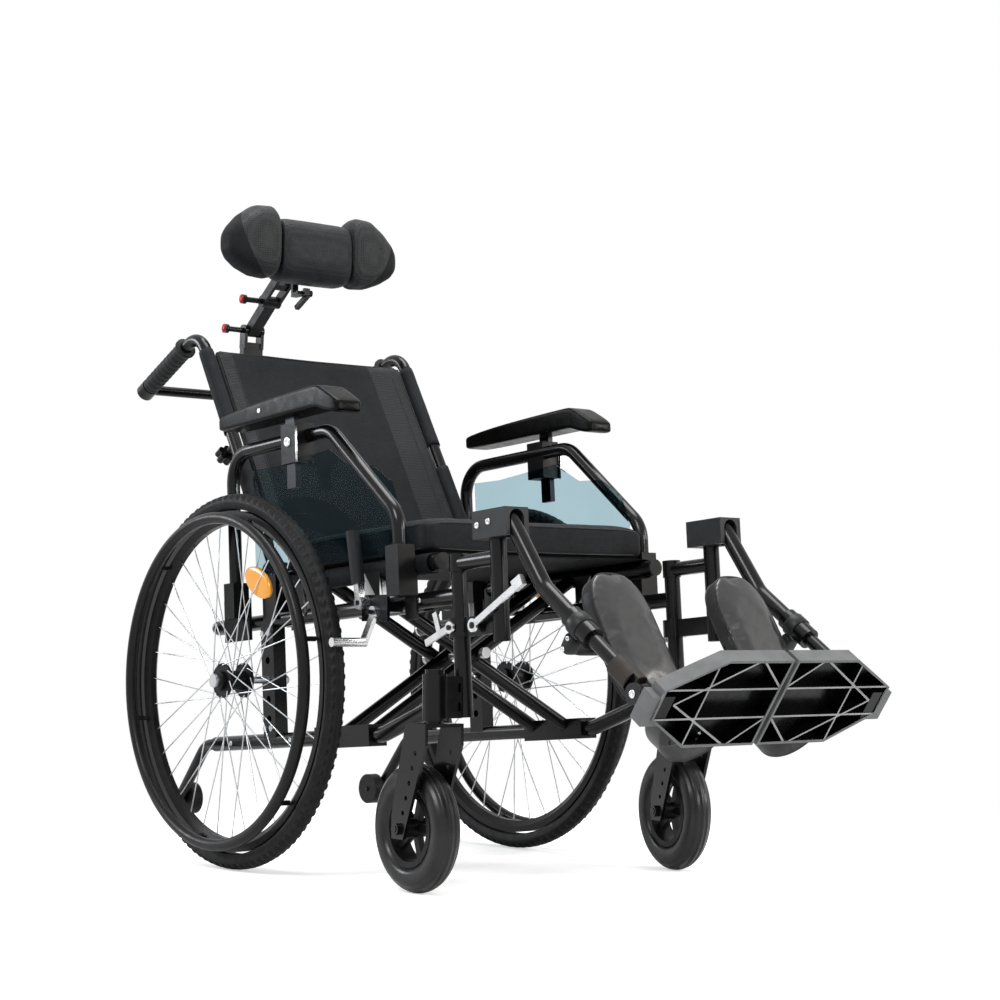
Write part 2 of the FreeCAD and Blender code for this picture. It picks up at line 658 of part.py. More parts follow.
def rear_wheel():
    middle = ground.at(0, -d.wheel_y, d.wheel_radius)
    hub_frame = Frame(middle)
    tyre = ring(hub_frame, "y", 0, (0, 0), d.wheel_radius - d.tyre_section / 2, d.tyre_section / 2)
    both("tyre", cut(tyre, rod(hub_frame, "y", (-30, 30), (0, 0), d.rim_radius)))
    wide = d.rim_width
    wall = d.rim_wall
    outside = (
        (d.rim_radius, 0), (d.rim_radius, wide), (d.rim_radius - d.rim_depth / 2, wide),
        (d.rim_radius - d.rim_depth, wide * 0.7), (d.rim_radius - d.rim_depth, wide * 0.3),
        (d.rim_radius - d.rim_depth / 2, 0))
    inside = (
        (d.rim_radius - wall, wall), (d.rim_radius - wall, wide - wall),
        (d.rim_radius - d.rim_depth / 2, wide - wall), (d.rim_radius - d.rim_depth + wall, wide * 0.66),
        (d.rim_radius - d.rim_depth + wall, wide * 0.34), (d.rim_radius - d.rim_depth / 2, wall))
    place = hub_frame.place(0, -d.rim_width / 2, 0)
    both("rim", cut(turned(place, outside), turned(place, inside)))
    half = d.hub_length / 2
    barrel = rod(hub_frame, "y", (-half, half), (0, 0), d.hub_radius)
    flanges = []
    for side in (-1, 1):
        flange = side * d.flange_gap / 2
        span = (flange - d.flange_thick / 2, flange + d.flange_thick / 2)
        flanges.append(rod(hub_frame, "y", span, (0, 0), d.flange_radius))
    bore = rod(hub_frame, "y", (-half - 1, half + 1), (0, 0), d.axle_radius + d.fit)
    hub = cut(fuse(barrel, *flanges), bore)
    both("hub_spokes", group(hub, *spokes(hub_frame)))
    rim_middle = d.rim_radius - d.rim_depth * 0.65
    hoop = ring(hub_frame, "y", -d.handrim_reach, (0, 0), d.handrim_radius, d.handrim_tube)
    tabs = []
    for number in range(int(d.handrim_tabs.value)):
        angle = math.radians(360 / d.handrim_tabs.value * number + 15)
        across = (math.cos(angle) * float(rim_middle), math.sin(angle) * float(rim_middle))
        span = (-d.handrim_reach + d.handrim_tube / 2, -d.rim_width / 2 - 0.1)
        tabs.append(rod(hub_frame, "y", span, across, 4))
    both("handrim", fuse(hoop, *tabs))


def spokes(hub_frame):
    """Crossed spokes, half from each flange, each pair on the two faces of its flange."""
    count = int(d.spoke_count.value) // 4
    hub_ring = d.flange_radius.value - 2.5
    rim_ring = d.rim_radius.value - d.rim_depth.value - 0.3
    face = d.flange_thick.value / 2 + d.spoke_radius.value + 0.4
    step = 360 / count
    wires = []
    for flange in (-1, 1):
        for lean in (-1, 1):
            for number in range(count):
                turn = step * (number + (0.5 if lean > 0 else 0) + (0.25 if flange > 0 else 0))
                start_angle = math.radians(turn)
                end_angle = math.radians(turn + lean * d.spoke_lead.value)
                start = hub_frame.at(
                    hub_ring * math.cos(start_angle), flange * d.flange_gap.value / 2 + lean * face,
                    hub_ring * math.sin(start_angle))
                end = hub_frame.at(
                    rim_ring * math.cos(end_angle), 0, rim_ring * math.sin(end_angle))
                wire = doc.addObject("Part::Cylinder", "Spoke")
                measure(wire, "Radius", d.spoke_radius)
                wire.Height = (end - start).Length
                wire.Placement = Placement(start, Rotation(Vector(0, 0, 1), end - start))
                wires.append(wire)
    return wires


def casters():
    for side, name, swivel in ((-1, "right", d.swivel_right), (1, "left", d.swivel_left)):
        stem = Frame(ground.at(d.caster_stem_x, side * d.caster_y, 0))
        pivot = Placement(Vector(), Rotation(Vector(0, 0, 1), swivel.value), stem.origin)
        outside = d.fork_half + d.fork_bar
        top = d.housing_bottom - 4
        crown = block(stem, (-26, 26), (-outside, outside), (top - d.fork_bar, top))
        axle_x = -d.caster_trail
        legs = []
        for leg_side in (-1, 1):
            face = d.fork_half + d.fork_bar if leg_side > 0 else -d.fork_half
            outline = (
                (0, 0), (30, 0), (88, d.housing_bottom - d.caster_radius - 20),
                (88, d.housing_bottom - d.caster_radius + 11), (36, d.housing_bottom - d.caster_radius + 11),
                (0, 34))
            place = stem.place(axle_x - 17, face, d.caster_radius - 15)
            legs.append(plate(place, outline, d.fork_bar))
        holes = [
            rod(stem, "y", (-60, 60), (axle_x + 13 + step * 8, d.caster_radius + 24 + step * 22), 3.5)
            for step in range(5)]
        slot = block(stem, (-20, 4), (-9, 9), (top - 20, top + 1))
        pin = rod(stem, "z", (top - d.fork_bar, d.housing_top - 8), (0, 0), d.stem_radius)
        collar = rod(stem, "z", (top - d.fork_bar, d.housing_bottom - 0.5), (0, 0), d.stem_radius + 4)
        axle = rod(stem, "y", (-outside - 7, outside + 7), (axle_x, d.caster_radius), d.caster_bolt)
        nuts = [
            rod(stem, "y", (end - 3, end + 3), (axle_x, d.caster_radius), 9)
            for end in (-outside - 3, outside + 3)]
        fork = fuse(cut(fuse(crown, *legs), slot, *holes), pin, collar, axle, *nuts)
        fork.Placement = pivot
        node(f"{name}_caster_fork", fork)
        middle = Frame(stem.at(axle_x, 0, d.caster_radius))
        tyre = cut(
            ring(middle, "y", 0, (0, 0), d.caster_radius - d.caster_section / 2, d.caster_section / 2),
            rod(middle, "y", (-30, 30), (0, 0), d.caster_seat))
        rim = cut(
            rod(middle, "y", (-17, 17), (0, 0), d.caster_seat - 0.1),
            rod(middle, "y", (-18, 18), (0, 0), d.caster_seat - 9))
        barrel = rod(middle, "y", (-26, 26), (0, 0), 14)
        arms = []
        for number in range(5):
            arm = block(middle, (0, d.caster_seat - 6), (-5, 5), (-6, 6))
            arm.Placement = Placement(
                middle.origin, Rotation(Vector(0, 1, 0), 72 * number)).multiply(
                Placement(Vector(0, -5, -6), Rotation()))
            arms.append(arm)
        bore = rod(middle, "y", (-30, 30), (0, 0), d.caster_bolt + d.fit)
        wheel = group(tyre, cut(fuse(rim, barrel, *arms), bore))
        wheel.Placement = pivot
        node(f"{name}_caster_wheel", wheel)


def anti_tippers():
    y = -d.rail_y
    corner = chassis.at(d.lower_rail_rear - 34, y, d.lower_rail_w)
    end = ground.at(d.tip_wheel_x, y, d.tip_wheel_z)
    start = chassis.at(d.lower_rail_rear + 46, y, d.lower_rail_w)
    tube, bore = tubing([[start, corner, end]], d.tip_od, bend=45)
    roller = Frame(end)
    pin = rod(roller, "y", (-4, 34), (0, 0), 4)
    boss = rod(roller, "y", (-d.tip_od / 2, d.tip_od / 2), (0, 0), d.tip_od / 2 + 1)
    pair("antitip_tubes", fuse(cut(tube, bore), boss, pin))
    wheel = rod(roller, "y", (11, 31), (0, 0), d.tip_wheel_radius)
    pair("antitip_rollers", cut(wheel, rod(roller, "y", (10, 32), (0, 0), 4 + d.fit)))


def backrest():
    y = -d.rail_y
    radius = d.cane_od / 2
    points = [back.at(0, y, -16), handle.at(0, y, 0), handle.at(d.handle_length, y, 0)]
    tube, bore = tubing([points], d.cane_od, bend=42)
    inner = y + radius + 0.5 + d.hinge_plate
    pin = rod(back, "y", (y - radius - d.hinge_plate - 0.4, inner + 20), (0, 0), d.recline_pin)
    lever_y = (inner + 6, inner + 12)
    lever = block(chassis, (d.recline_u - 9, d.recline_u + 9), lever_y, (d.gas_w - 9, d.recline_w + 9))
    stud = rod(chassis, "y", (lever_y[0], -d.gas_y + 5), (d.recline_u, d.gas_w), 4)
    knob_x = -radius - 26
    stalk = rod(back, "x", (-radius - 20, -radius + 1), (y, 262), 5)
    star = rod(back, "x", (knob_x - 8, knob_x + 8), (y, 262), 11)
    lobes = [
        rod(back, "x", (knob_x - 8, knob_x + 8),
            (y + 10 * math.cos(math.radians(72 * n)), 262 + 10 * math.sin(math.radians(72 * n))), 6)
        for n in range(5)]
    pair("back_canes", fuse(cut(fuse(tube, stalk), bore), pin, lever, stud, star, *lobes))
    span = (d.grip_start, d.grip_start + d.grip_length)
    grip = rod(handle, "x", span, (y, 0), d.grip_radius)
    flare = rod(handle, "x", (span[0] - 6, span[0] + 2), (y, 0), d.grip_radius + 3)
    pair("push_grips", cut(
        fuse(grip, flare), rod(handle, "x", (span[0] - 9, span[1] + 1), (y, 0), radius + 0.1)))
    clamp_span = (span[1] + 1, d.handle_length + 3)
    middle = (clamp_span[0] + clamp_span[1]) / 2
    clamp = rod(handle, "x", clamp_span, (y, 0), radius + 5)
    far_clamp = rod(handle, "x", clamp_span, (d.rail_y, 0), radius + 5)
    beam = rod(handle, "y", (-d.rail_y, d.rail_y), (middle, 0), d.cross_bar_radius)
    bores = [
        rod(handle, "x", (clamp_span[0] - 1, d.handle_length + d.fit), (side, 0), radius + d.fit)
        for side in (y, d.rail_y)]
    bar_point = handle.at(middle, 0, 0)
    bracket = headrest_bracket(bar_point)
    node("handle_cross_bar", group(cut(fuse(clamp, far_clamp, beam), *bores), bracket))
    wall = radius + d.sleeve_wall
    sleeves = []
    for side in (y, d.rail_y):
        sleeves.append(rod(back, "z", (150, d.back_top - 6), (0, side), wall))
    sleeve_bores = [rod(back, "z", (140, d.back_top), (0, side), radius + 0.15) for side in (y, d.rail_y)]
    knob_gaps = [block(back, (-40, 0), (side - 14, side + 14), (242, 282)) for side in (y, d.rail_y)]
    stations = []
    low = float(d.back_bottom)
    high = float(d.back_top)
    half = float(d.rail_y - radius) - 0.6
    thick = float(d.back_thick)
    middle = (low + high) / 2
    for t, lean in ((low, 4), (low + 14, 0), (middle, -4), (high - 12, 0), (high, 4)):
        stations.append((
            back.at(0, 0, t), back.y, back.x, half - 2, (lean - thick) / 2, (thick - lean) / 2, 0.5,
            -5 + lean))
    node("back_upholstery", cut(fuse(pillow(stations), *sleeves), *sleeve_bores, *knob_gaps))


def headrest_bracket(bar_point):
    """The clamp on the handle bar, with the post that carries the headrest's lower pivot."""
    radius = d.cross_bar_radius
    base = Frame(bar_point)
    pivot = ground.at(d.head_pivot_x, 0, d.head_pivot_z)
    rise = pivot.z - bar_point.z
    shift = pivot.x - bar_point.x
    post = Frame(bar_point, -math.degrees(math.atan2(shift, rise)))
    length = math.hypot(rise, shift)
    clamp = rod(base, "y", (-24, 24), (0, 0), radius + 7)
    stem = block(post, (-7, 7), (-21, 21), (radius + 2, length - 22))
    cheeks = []
    for side in (-1, 1):
        span = (14.5, 21) if side > 0 else (-21, -14.5)
        cheeks.append(block(post, (-9, 9), span, (length - 34, length)))
        cheeks.append(rod(post, "y", span, (0, length), 11))
    pin = rod(post, "y", (-56, 23), (0, length), d.head_pin)
    button = rod(post, "y", (-62, -54), (0, length), 8.5)
    return fuse(cut(fuse(clamp, stem), rod(base, "y", (-30, 30), (0, 0), radius + 0.1)), *cheeks, pin, button)


def link(start, end, y_span, radius):
    """A flat link with a round eye at each end."""
    run = end - start
    frame = Frame(start, math.degrees(math.atan2(run.z, run.x)))
    arm = block(frame, (0, run.Length), y_span, (-radius * 0.8, radius * 0.8))
    eyes = [rod(frame, "y", y_span, (at, 0), radius) for at in (0, run.Length)]
    return frame, run.Length, fuse(arm, *eyes)


def headrest():
    low = ground.at(d.head_pivot_x, 0, d.head_pivot_z)
    joint = ground.at(d.head_joint_x, 0, d.head_joint_z)
    mount = ground.at(d.head_mount_x, 0, d.head_mount_z)
    hole = d.head_pin + d.fit
    frame, length, arm = link(low, joint, (-12, 12), 11)
    pin = rod(frame, "y", (-56, 23), (length, 0), d.head_pin)
    button = rod(frame, "y", (-62, -54), (length, 0), 8.5)
    lower = cut(arm, rod(frame, "y", (-13, 13), (0, 0), hole))
    node("headrest_lower_arm", fuse(lower, pin, button))
    cheeks = []
    for span in ((-19, -12.5), (12.5, 19)):
        frame, length, cheek = link(joint, mount, span, 11)
        cheeks.append(cut(cheek, rod(frame, "y", (-25, 25), (0, 0), hole)))
    cross = block(frame, (length * 0.45, length * 0.6), (-14, 14), (-6, 6))
    pin = rod(frame, "y", (-22, 22), (length, 0), d.head_pin)
    node("headrest_upper_arm", fuse(*cheeks, cross, pin))
    head = Frame(ground.at(d.roll_x, 0, d.roll_z))
    rear = -d.roll_depth / 2
    shell = block(head, (rear - 6 - d.gap, rear - d.gap), (-70, 70), (-34, 34))
    eye_at = mount - head.origin
    eye = rod(head, "y", (-12, 12), (eye_at.x, eye_at.z), 11)
    lug = block(head, (eye_at.x, rear - 2), (-12, 12), (eye_at.z - 9, eye_at.z + 9))
    tabs = [
        block(head, (-10, -4), (-6, 6), (-d.roll_height / 2 - 8, -d.roll_height / 2 - 0.4)),
        block(head, (rear - 6, -4), (-6, 6), (-d.roll_height / 2 - 12, -d.roll_height / 2 - 4)),
        block(head, (rear - 6 - d.gap, rear - d.gap), (-6, 6), (-d.roll_height / 2 - 12, 0))]
    body = cut(fuse(shell, eye, lug), rod(head, "y", (-13, 13), (eye_at.x, eye_at.z), hole))
    lever_pin = rod(head, "y", (-16, 16), (-14, -d.roll_height / 2 - 8), 3)
    node("headrest_plate", fuse(body, *tabs, lever_pin))
    lever_at = Frame(head.at(-14, 0, -d.roll_height / 2 - 8), 28)
    paddle = block(lever_at, (-46, 0), (6.5, 15), (-4, 4))
    hub = rod(lever_at, "y", (6.5, 15), (0, 0), 6)
    node("headrest_lever", cut(fuse(paddle, hub), rod(lever_at, "y", (5, 17), (0, 0), 3 + d.fit)))
    node("headrest_cushion", group(*head_cushions(head)))


def head_cushions(head):
    """The middle roll and a taller wing at each end that falls away outwards."""
    half = float(d.roll_half)
    deep = float(d.roll_depth) / 2
    tall = float(d.roll_height) / 2
    roll = []
    for y, scale in ((-half, 0.9), (-half + 10, 0.97), (0, 1), (half - 10, 0.97), (half, 0.9)):
        roll.append((head.at(0, y, 0), Vector(0, 0, 1), Vector(1, 0, 0), tall * scale - 6, -deep * scale,
                     deep * scale - 4, 6, 4))
    wings = []
    sweep = math.radians(d.wing_sweep.value)
    outward = Vector(math.sin(sweep), -math.cos(sweep), 0)
    facing = Vector(math.cos(sweep), math.sin(sweep), 0)
    root = head.at(-1, -half - 0.5 - deep * math.sin(sweep), 0)
    length = float(d.wing_length)
    stations = []
    for reach, scale, rise, depth in (
            (0, 1.06, 8, 0.96), (0.12, 1.14, 10, 1), (0.4, 1.1, 10, 1), (0.68, 0.86, 6, 0.94),
            (0.88, 0.6, 2, 0.8), (1, 0.36, 0, 0.6)):
        stations.append((root + outward * reach * length + Vector(0, 0, rise), Vector(0, 0, 1), facing,
                         tall * scale - 8, -deep * depth, deep * depth - 4, 8, 4))
    wing = pillow(stations)
    wings.append(wing)
    wings.append(mirrored(wing))
    return [pillow(roll), *wings]


def gas_springs():
    """The springs that hold the recline: cylinders on the frame, rods that the cane levers push."""
    y = -d.gas_y
    tail = 412
    body = rod(chassis, "x", (205, tail), (y, d.gas_w), d.gas_radius)
    foot = block(
        chassis, (tail - 14, tail + 12), (-d.rail_y + d.rail_od / 2 + d.gap / 2, y + d.gas_radius),
        (d.gas_w - 12, d.gas_w + 12))
    bore = rod(chassis, "x", (200, tail - 16), (y, d.gas_w), d.gas_rod + d.fit)
    pair("gas_spring_cylinders", cut(fuse(body, foot), bore))
    stroke = rod(chassis, "x", (d.recline_u + 8, 300), (y, d.gas_w), d.gas_rod)
    yoke = block(chassis, (d.recline_u - 10, d.recline_u + 14), (y - 4, y + 6), (d.gas_w - 14, d.gas_w + 34))
    slot = block(
        chassis, (d.recline_u - 5.8, d.recline_u + 5.8), (y - 8, y + 10), (d.gas_w - 6, d.gas_w + 27))
    pair("gas_spring_rods", cut(fuse(stroke, yoke), slot))


def legrest():
    y = -d.hanger_y
    radius = d.rail_od / 2
    axis_y = -d.rail_y
    elbow_w = d.upright_top + radius + d.gap
    elbow = [chassis.at(d.upright_u, axis_y, elbow_w), chassis.at(d.hanger_u, y, elbow_w)]
    drop = [chassis.at(d.hanger_u, y, w) for w in (d.hanger_bottom, d.block_bottom + 8)]
    elbow_tube, elbow_bore = tubing([elbow], d.rail_od - 2)
    drop_tube, drop_bore = tubing([drop], d.rail_od)
    knob = rod(chassis, "z", (elbow_w - radius, elbow_w + radius + 2), (d.upright_u, axis_y), radius + 2)
    peg = rod(
        chassis, "z", (d.upright_top - 40, elbow_w - radius + 1), (d.upright_u, axis_y),
        radius - d.tube_wall - d.fit)
    collar = rod(chassis, "z", (36, 64), (d.upright_u, axis_y), radius + 6)
    web = block(chassis, (d.upright_u + 4, d.hanger_u - 4), (y - 7, y + 7), (36, 64))
    collar_bore = rod(chassis, "z", (30, 70), (d.upright_u, axis_y), radius + d.fit)
    housing = block(
        chassis, (d.hanger_u - 31, d.knee_u + 14), (y - 22, y + 22), (d.block_bottom, d.block_top))
    half_slot = d.leg_od / 2 + 1
    arch_w = d.block_top - 3 - half_slot
    slot_run = (d.knee_u - 17, d.knee_u + 40)
    slot = block(chassis, slot_run, (y - half_slot, y + half_slot), (d.block_bottom - 20, arch_w))
    arch = rod(chassis, "x", slot_run, (y, arch_w), half_slot)
    shell = cut(fuse(elbow_tube, drop_tube, housing), elbow_bore, drop_bore, fuse(slot, arch))
    knee = rod(chassis, "y", (y - 20, y + 20), (d.knee_u, d.knee_w), d.knee_pin)
    lower = cut(fuse(collar, web), collar_bore, drop_bore)
    studs = [
        rod(chassis, "y", (y - 20, y - 6), (552, 50), 5),
        rod(chassis, "y", (axis_y - radius - 13, axis_y - radius - 1), (d.upright_u, 50), 4)]
    both("hanger", fuse(shell, knob, peg, lower, knee, *studs))
    leg_tube(y)
    calf_pad(y)
    foot_parts(y)
    release = Frame(chassis.at(552, 0, 50), 29)
    strip = block(release, (0, 132), (y - 19, y - 15.5), (-5, 5))
    paddle = block(release, (112, 134), (y - 24, y - 15.5), (-8, 8))
    eye = rod(release, "y", (y - 19, y - 15.5), (0, 0), 10)
    both("release_lever", cut(fuse(strip, paddle, eye), rod(release, "y", (y - 30, y), (0, 0), 5 + d.fit)))
    latch = Frame(chassis.at(d.upright_u, 0, 50), 22)
    face = axis_y - radius - 7
    arm = block(latch, (-62, 0), (face - 4, face), (-5, 5))
    tab = block(latch, (-30, -20), (face - 4, face), (0, 34))
    eye = rod(latch, "y", (face - 4, face), (0, 0), 9)
    both("latch_lever", cut(fuse(arm, tab, eye), rod(latch, "y", (face - 9, face + 5), (0, 0), 4 + d.fit)))


def leg_tube(y):
    radius = d.leg_od / 2
    points = [thigh.at(0, y, 0), leg.at(0, y, 0), leg.at(d.leg_length, y, 0)]
    tube, bore = tubing([points], d.leg_od, bend=50)
    plug = rod(thigh, "x", (0, 22), (y, 0), radius - 0.5)
    eye = rod(thigh, "y", (y - 6, y + 6), (0, 0), radius - 1.5)
    rings = [
        rod(leg, "x", (d.leg_length - 55, d.leg_length - 43), (y, 0), radius + 4),
        rod(leg, "x", (d.leg_length - 22, d.leg_length), (y, 0), radius + 4)]
    sliding = rod(leg, "x", (24, d.leg_length + 1), (y, 0), d.foot_od / 2 + d.fit)
    pin_hole = rod(thigh, "y", (y - 30, y + 30), (0, 0), d.knee_pin + d.fit)
    hollow = cut(fuse(tube, *rings), bore, sliding)
    both("leg_tube", cut(fuse(hollow, plug, eye), pin_hole))


def calf_pad(y):
    """A cushion on a bracket that turns on the legrest tube; it stands steeper than the tube."""
    radius = d.leg_od / 2
    hold = Frame(leg.at(d.leg_length - 32, 0, 0), d.leg_pitch)
    rest = Frame(leg.at(d.leg_length - 32, 0, 0), d.calf_pitch)
    hoop = rod(hold, "x", (-10.5, 9.5), (y, 0), radius + 6)
    drop = block(hold, (-10.5, 9.5), (y - 14, y + 14), (d.calf_back - 18, -11))
    arm = block(hold, (-10.5, 9.5), (y, -d.calf_y + 20), (d.calf_back - 18, d.calf_back - 7))
    seat_plate = block(rest, (-60, 60), (-d.calf_y - 30, -d.calf_y + 30), (d.calf_back - 4, d.calf_back))
    bracket = cut(fuse(hoop, drop, arm, seat_plate), rod(hold, "x", (-40, 40), (y, 0), radius + d.fit))
    stations = []
    half = float(d.calf_half)
    length = float(d.calf_length)
    thick = float(d.calf_thick)
    for reach, scale, trim in (
            (-0.5, 0.62, 8), (-0.47, 0.78, 3), (-0.36, 0.95, 0), (0, 1, 0), (0.36, 0.97, 0), (0.47, 0.84, 3),
            (0.5, 0.7, 8)):
        stations.append((
            rest.at(reach * length + 10, -d.calf_y, d.calf_back + d.gap), rest.y, rest.z,
            half * scale - 3, trim * 0.5, thick - trim, 3, -3))
    both("calf_pad", group(pillow(stations), bracket))


def foot_parts(y):
    radius = d.foot_od / 2
    ankle = (d.ankle_reach, d.ankle_drop)
    eye_radius = d.plate_start - d.ankle_reach - 1
    stalk = rod(leg, "x", (40, d.ankle_reach), (y, 0), radius)
    sleeve = rod(leg, "x", (d.ankle_reach - 60, d.ankle_reach - 8), (y, 0), radius + 6.5)
    eye = rod(leg, "y", (y - 8, y + 8), ankle, eye_radius)
    pin_hole = rod(leg, "y", (y - 20, y + 20), ankle, d.ankle_pin + d.fit)
    hollow = rod(leg, "x", (39, d.ankle_reach - 62), (y, 0), radius - d.tube_wall)
    trims = [
        block(leg, (d.ankle_reach - 20, d.ankle_reach + 20), (y + low, y + high), (-40, 40))
        for low, high in ((-30, -8), (8, 30))]
    both("foot_tube", cut(fuse(stalk, sleeve, eye), pin_hole, hollow, *trims))
    tray = footplate_tray()
    lug = block(
        leg, (d.ankle_reach - 10, d.plate_start + 1), (y + 8.5, y + 26),
        (d.ankle_drop - 18, d.ankle_drop + 18))
    knuckle = block(
        leg, (d.plate_start, d.plate_start + d.plate_thick - 2), (y - 20, y + 20),
        (d.ankle_drop - 24, d.ankle_drop + 24))
    pin = rod(leg, "y", (y - 9, y + 20), ankle, d.ankle_pin)
    cap = rod(leg, "y", (y - 15, y - 8.5), ankle, eye_radius - 1)
    both("footplate", fuse(tray, knuckle, lug, pin, cap))
    heel = float(d.plate_heel)
    inner = -float(d.plate_inner) - 26
    outer = -float(d.plate_outer) + 60
    middle = (inner + outer) / 2
    start = d.plate_start.value - d.strap_width.value - 1
    thick = d.strap_thick.value

    def band(offset):
        ends = [leg.at(start, side, heel + 14) for side in (inner - offset, outer + offset)]
        return ends[0], leg.at(start, middle, heel - 46 + offset), ends[1]

    outside = band(0)
    inside = band(thick)
    wire = Part.Wire([
        arc(*outside), Part.LineSegment(outside[2], inside[2]).toShape(),
        arc(inside[2], inside[1], inside[0]), Part.LineSegment(inside[0], outside[0]).toShape()])
    strap = Part.Face(wire).extrude(leg.x * (d.strap_width.value + 0.7))
    both("heel_strap", shaped(strap))


def footplate_tray():
    """A tray open towards the floor, with crossed ribs inside."""
    toe = float(d.plate_toe)
    heel = float(d.plate_heel)
    inner = -float(d.plate_inner)
    outer = -float(d.plate_outer)
    near = float(d.plate_start)
    deep = float(d.plate_thick)
    outline = (
        (inner, toe), (outer + 95, toe), (outer, toe - 48), (outer, heel + 48), (outer + 81, heel),
        (inner, heel))

    def prism(corners, start, depth):
        points = [leg.at(start, y, z) for y, z in corners]
        return Part.Face(Part.makePolygon(points + points[:1])).extrude(leg.x * depth)

    def shrunk(amount):
        centre_y = sum(y for y, z in outline) / len(outline)
        centre_z = sum(z for y, z in outline) / len(outline)
        half_y = (inner - outer) / 2
        half_z = (toe - heel) / 2
        return [
            (centre_y + (y - centre_y) * (1 - amount / half_y),
             centre_z + (z - centre_z) * (1 - amount / half_z))
            for y, z in outline]

    body = prism(outline, near, deep)
    pocket = prism(shrunk(4), near + float(d.plate_sole), deep)
    rib = float(d.plate_rib) / 2
    width = inner - outer
    tall = toe - heel
    strips = []
    for (ya, za), (yb, zb) in (
            ((0.37, 0), (0.37, 1)), ((0, 0.667), (1, 0.667)), ((0, 0.333), (1, 0.333)),
            ((0.13, 0.5), (0.73, 1)), ((0.73, 1), (1, 0.667)), ((0.13, 0.5), (0.74, 0)),
            ((0.74, 0), (1, 0.333))):
        first = (outer + ya * width, heel + za * tall)
        last = (outer + yb * width, heel + zb * tall)
        run = math.hypot(last[0] - first[0], last[1] - first[1])
        off = ((last[1] - first[1]) / run * rib, -(last[0] - first[0]) / run * rib)
        corners = [
            (first[0] + off[0], first[1] + off[1]), (last[0] + off[0], last[1] + off[1]),
            (last[0] - off[0], last[1] - off[1]), (first[0] - off[0], first[1] - off[1])]
        strips.append(prism(corners, near + 1, deep - 2))
    ribs = strips[0].multiFuse(strips[1:]).common(body)
    return shaped(body.cut(pocket).fuse(ribs).removeSplitter())


def brakes():
    rail_side = -d.rail_y - d.rail_od / 2 - d.gap / 2
    y = -d.brake_y
    lever_pivot = (320, 428)
    shoe_pivot = (346, 414)
    plate_y = (y + 13, y + 18)
    cheek = block(ground, (306, 372), plate_y, (400, 440))
    foot = block(ground, (330, 372), (plate_y[0], rail_side), (414, 430))
    pins = [
        rod(ground, "y", (y - 6, plate_y[1] - 1), pivot, d.brake_pin) for pivot in (lever_pivot, shoe_pivot)]
    pair("brake_brackets", fuse(cheek, foot, *pins))
    lever = Frame(ground.at(lever_pivot[0], 0, lever_pivot[1]), -79)
    hub = rod(lever, "y", (y - 5, y + 12.6), (0, 0), 10)
    arm = block(lever, (-40, 0), (y - 5, y + 5), (-6, 6))
    grip = rod(lever, "x", (-112, -30), (y, 0), 10.5)
    pin_hole = rod(lever, "y", (y - 8, y + 14), (0, 0), d.brake_pin + d.fit)
    both("brake_lever", cut(fuse(hub, arm, grip), pin_hole))
    shoe_at = (317, 368)
    run = math.hypot(shoe_at[0] - shoe_pivot[0], shoe_at[1] - shoe_pivot[1])
    pitch = math.degrees(math.atan2(shoe_at[1] - shoe_pivot[1], shoe_at[0] - shoe_pivot[0]))
    swing = Frame(ground.at(shoe_pivot[0], 0, shoe_pivot[1]), pitch)
    eye = rod(swing, "y", (y + 3, y + 12.6), (0, 0), 9)
    arm = block(swing, (0, run), (y + 5.5, y + 12.6), (-6, 6))
    shoe = rod(swing, "y", (-d.wheel_y - 26, y + 12.6), (run, 0), d.shoe_radius)
    both("brake_shoe", cut(fuse(eye, arm, shoe), rod(swing, "y", (y, y + 14), (0, 0), d.brake_pin + d.fit)))


def write_nodes():
    doc.recompute()
    for item in doc.Objects:
        if "Invalid" in item.State or "Error" in item.State:
            raise RuntimeError(f"{item.Name} ({item.Label}) did not recompute: {item.State}")
    for label, item in nodes.items():
        if item.Shape.isNull() or not item.Shape.isValid() or not item.Shape.Solids:
            raise RuntimeError(f"{label} has no valid solid")
    os.makedirs("parts", exist_ok=True)
    for label, item in nodes.items():
        item.Shape.exportStep(f"parts/{label}.step")
    print(len(nodes), "nodes")


d.wheel_y = d.rail_y + d.wheel_out
d.cushion_half = d.rail_y + d.cushion_out
d.arm_y = d.rail_y + d.arm_out
d.post_y = d.rail_y + d.post_out
d.pad_y = d.rail_y + d.pad_out
d.gas_y = d.rail_y + d.gas_out
d.caster_y = d.rail_y + d.caster_out
d.hanger_y = d.rail_y + d.hanger_out
d.plate_outer = d.rail_y + d.plate_out
d.calf_y = d.rail_y + d.calf_out
d.brake_y = d.rail_y + d.brake_out
d.back_top = d.cane_length - d.back_drop
d.tip_od = d.rail_od - 2 * d.tube_wall - 2 * d.tip_play
d.foot_od = d.leg_od - 2 * d.tube_wall - 2 * d.foot_play
d.brace_pin_hole = d.axle_radius - 1
d.gas_w = d.recline_w - d.lever_length
side_frames()
cross_brace("cross_brace_a", -1, d.brace_u + d.brace_step)
cross_brace("cross_brace_b", 1, d.brace_u)
seat()
frame_fittings()
caster_housings()
armrests()
side_panels()
rear_wheel()
casters()
anti_tippers()
backrest()
headrest()
gas_springs()
legrest()
brakes()
write_nodes()
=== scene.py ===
import math

import bmesh
import bpy
from mathutils import Matrix, Vector, noise
from mathutils.bvhtree import BVHTree


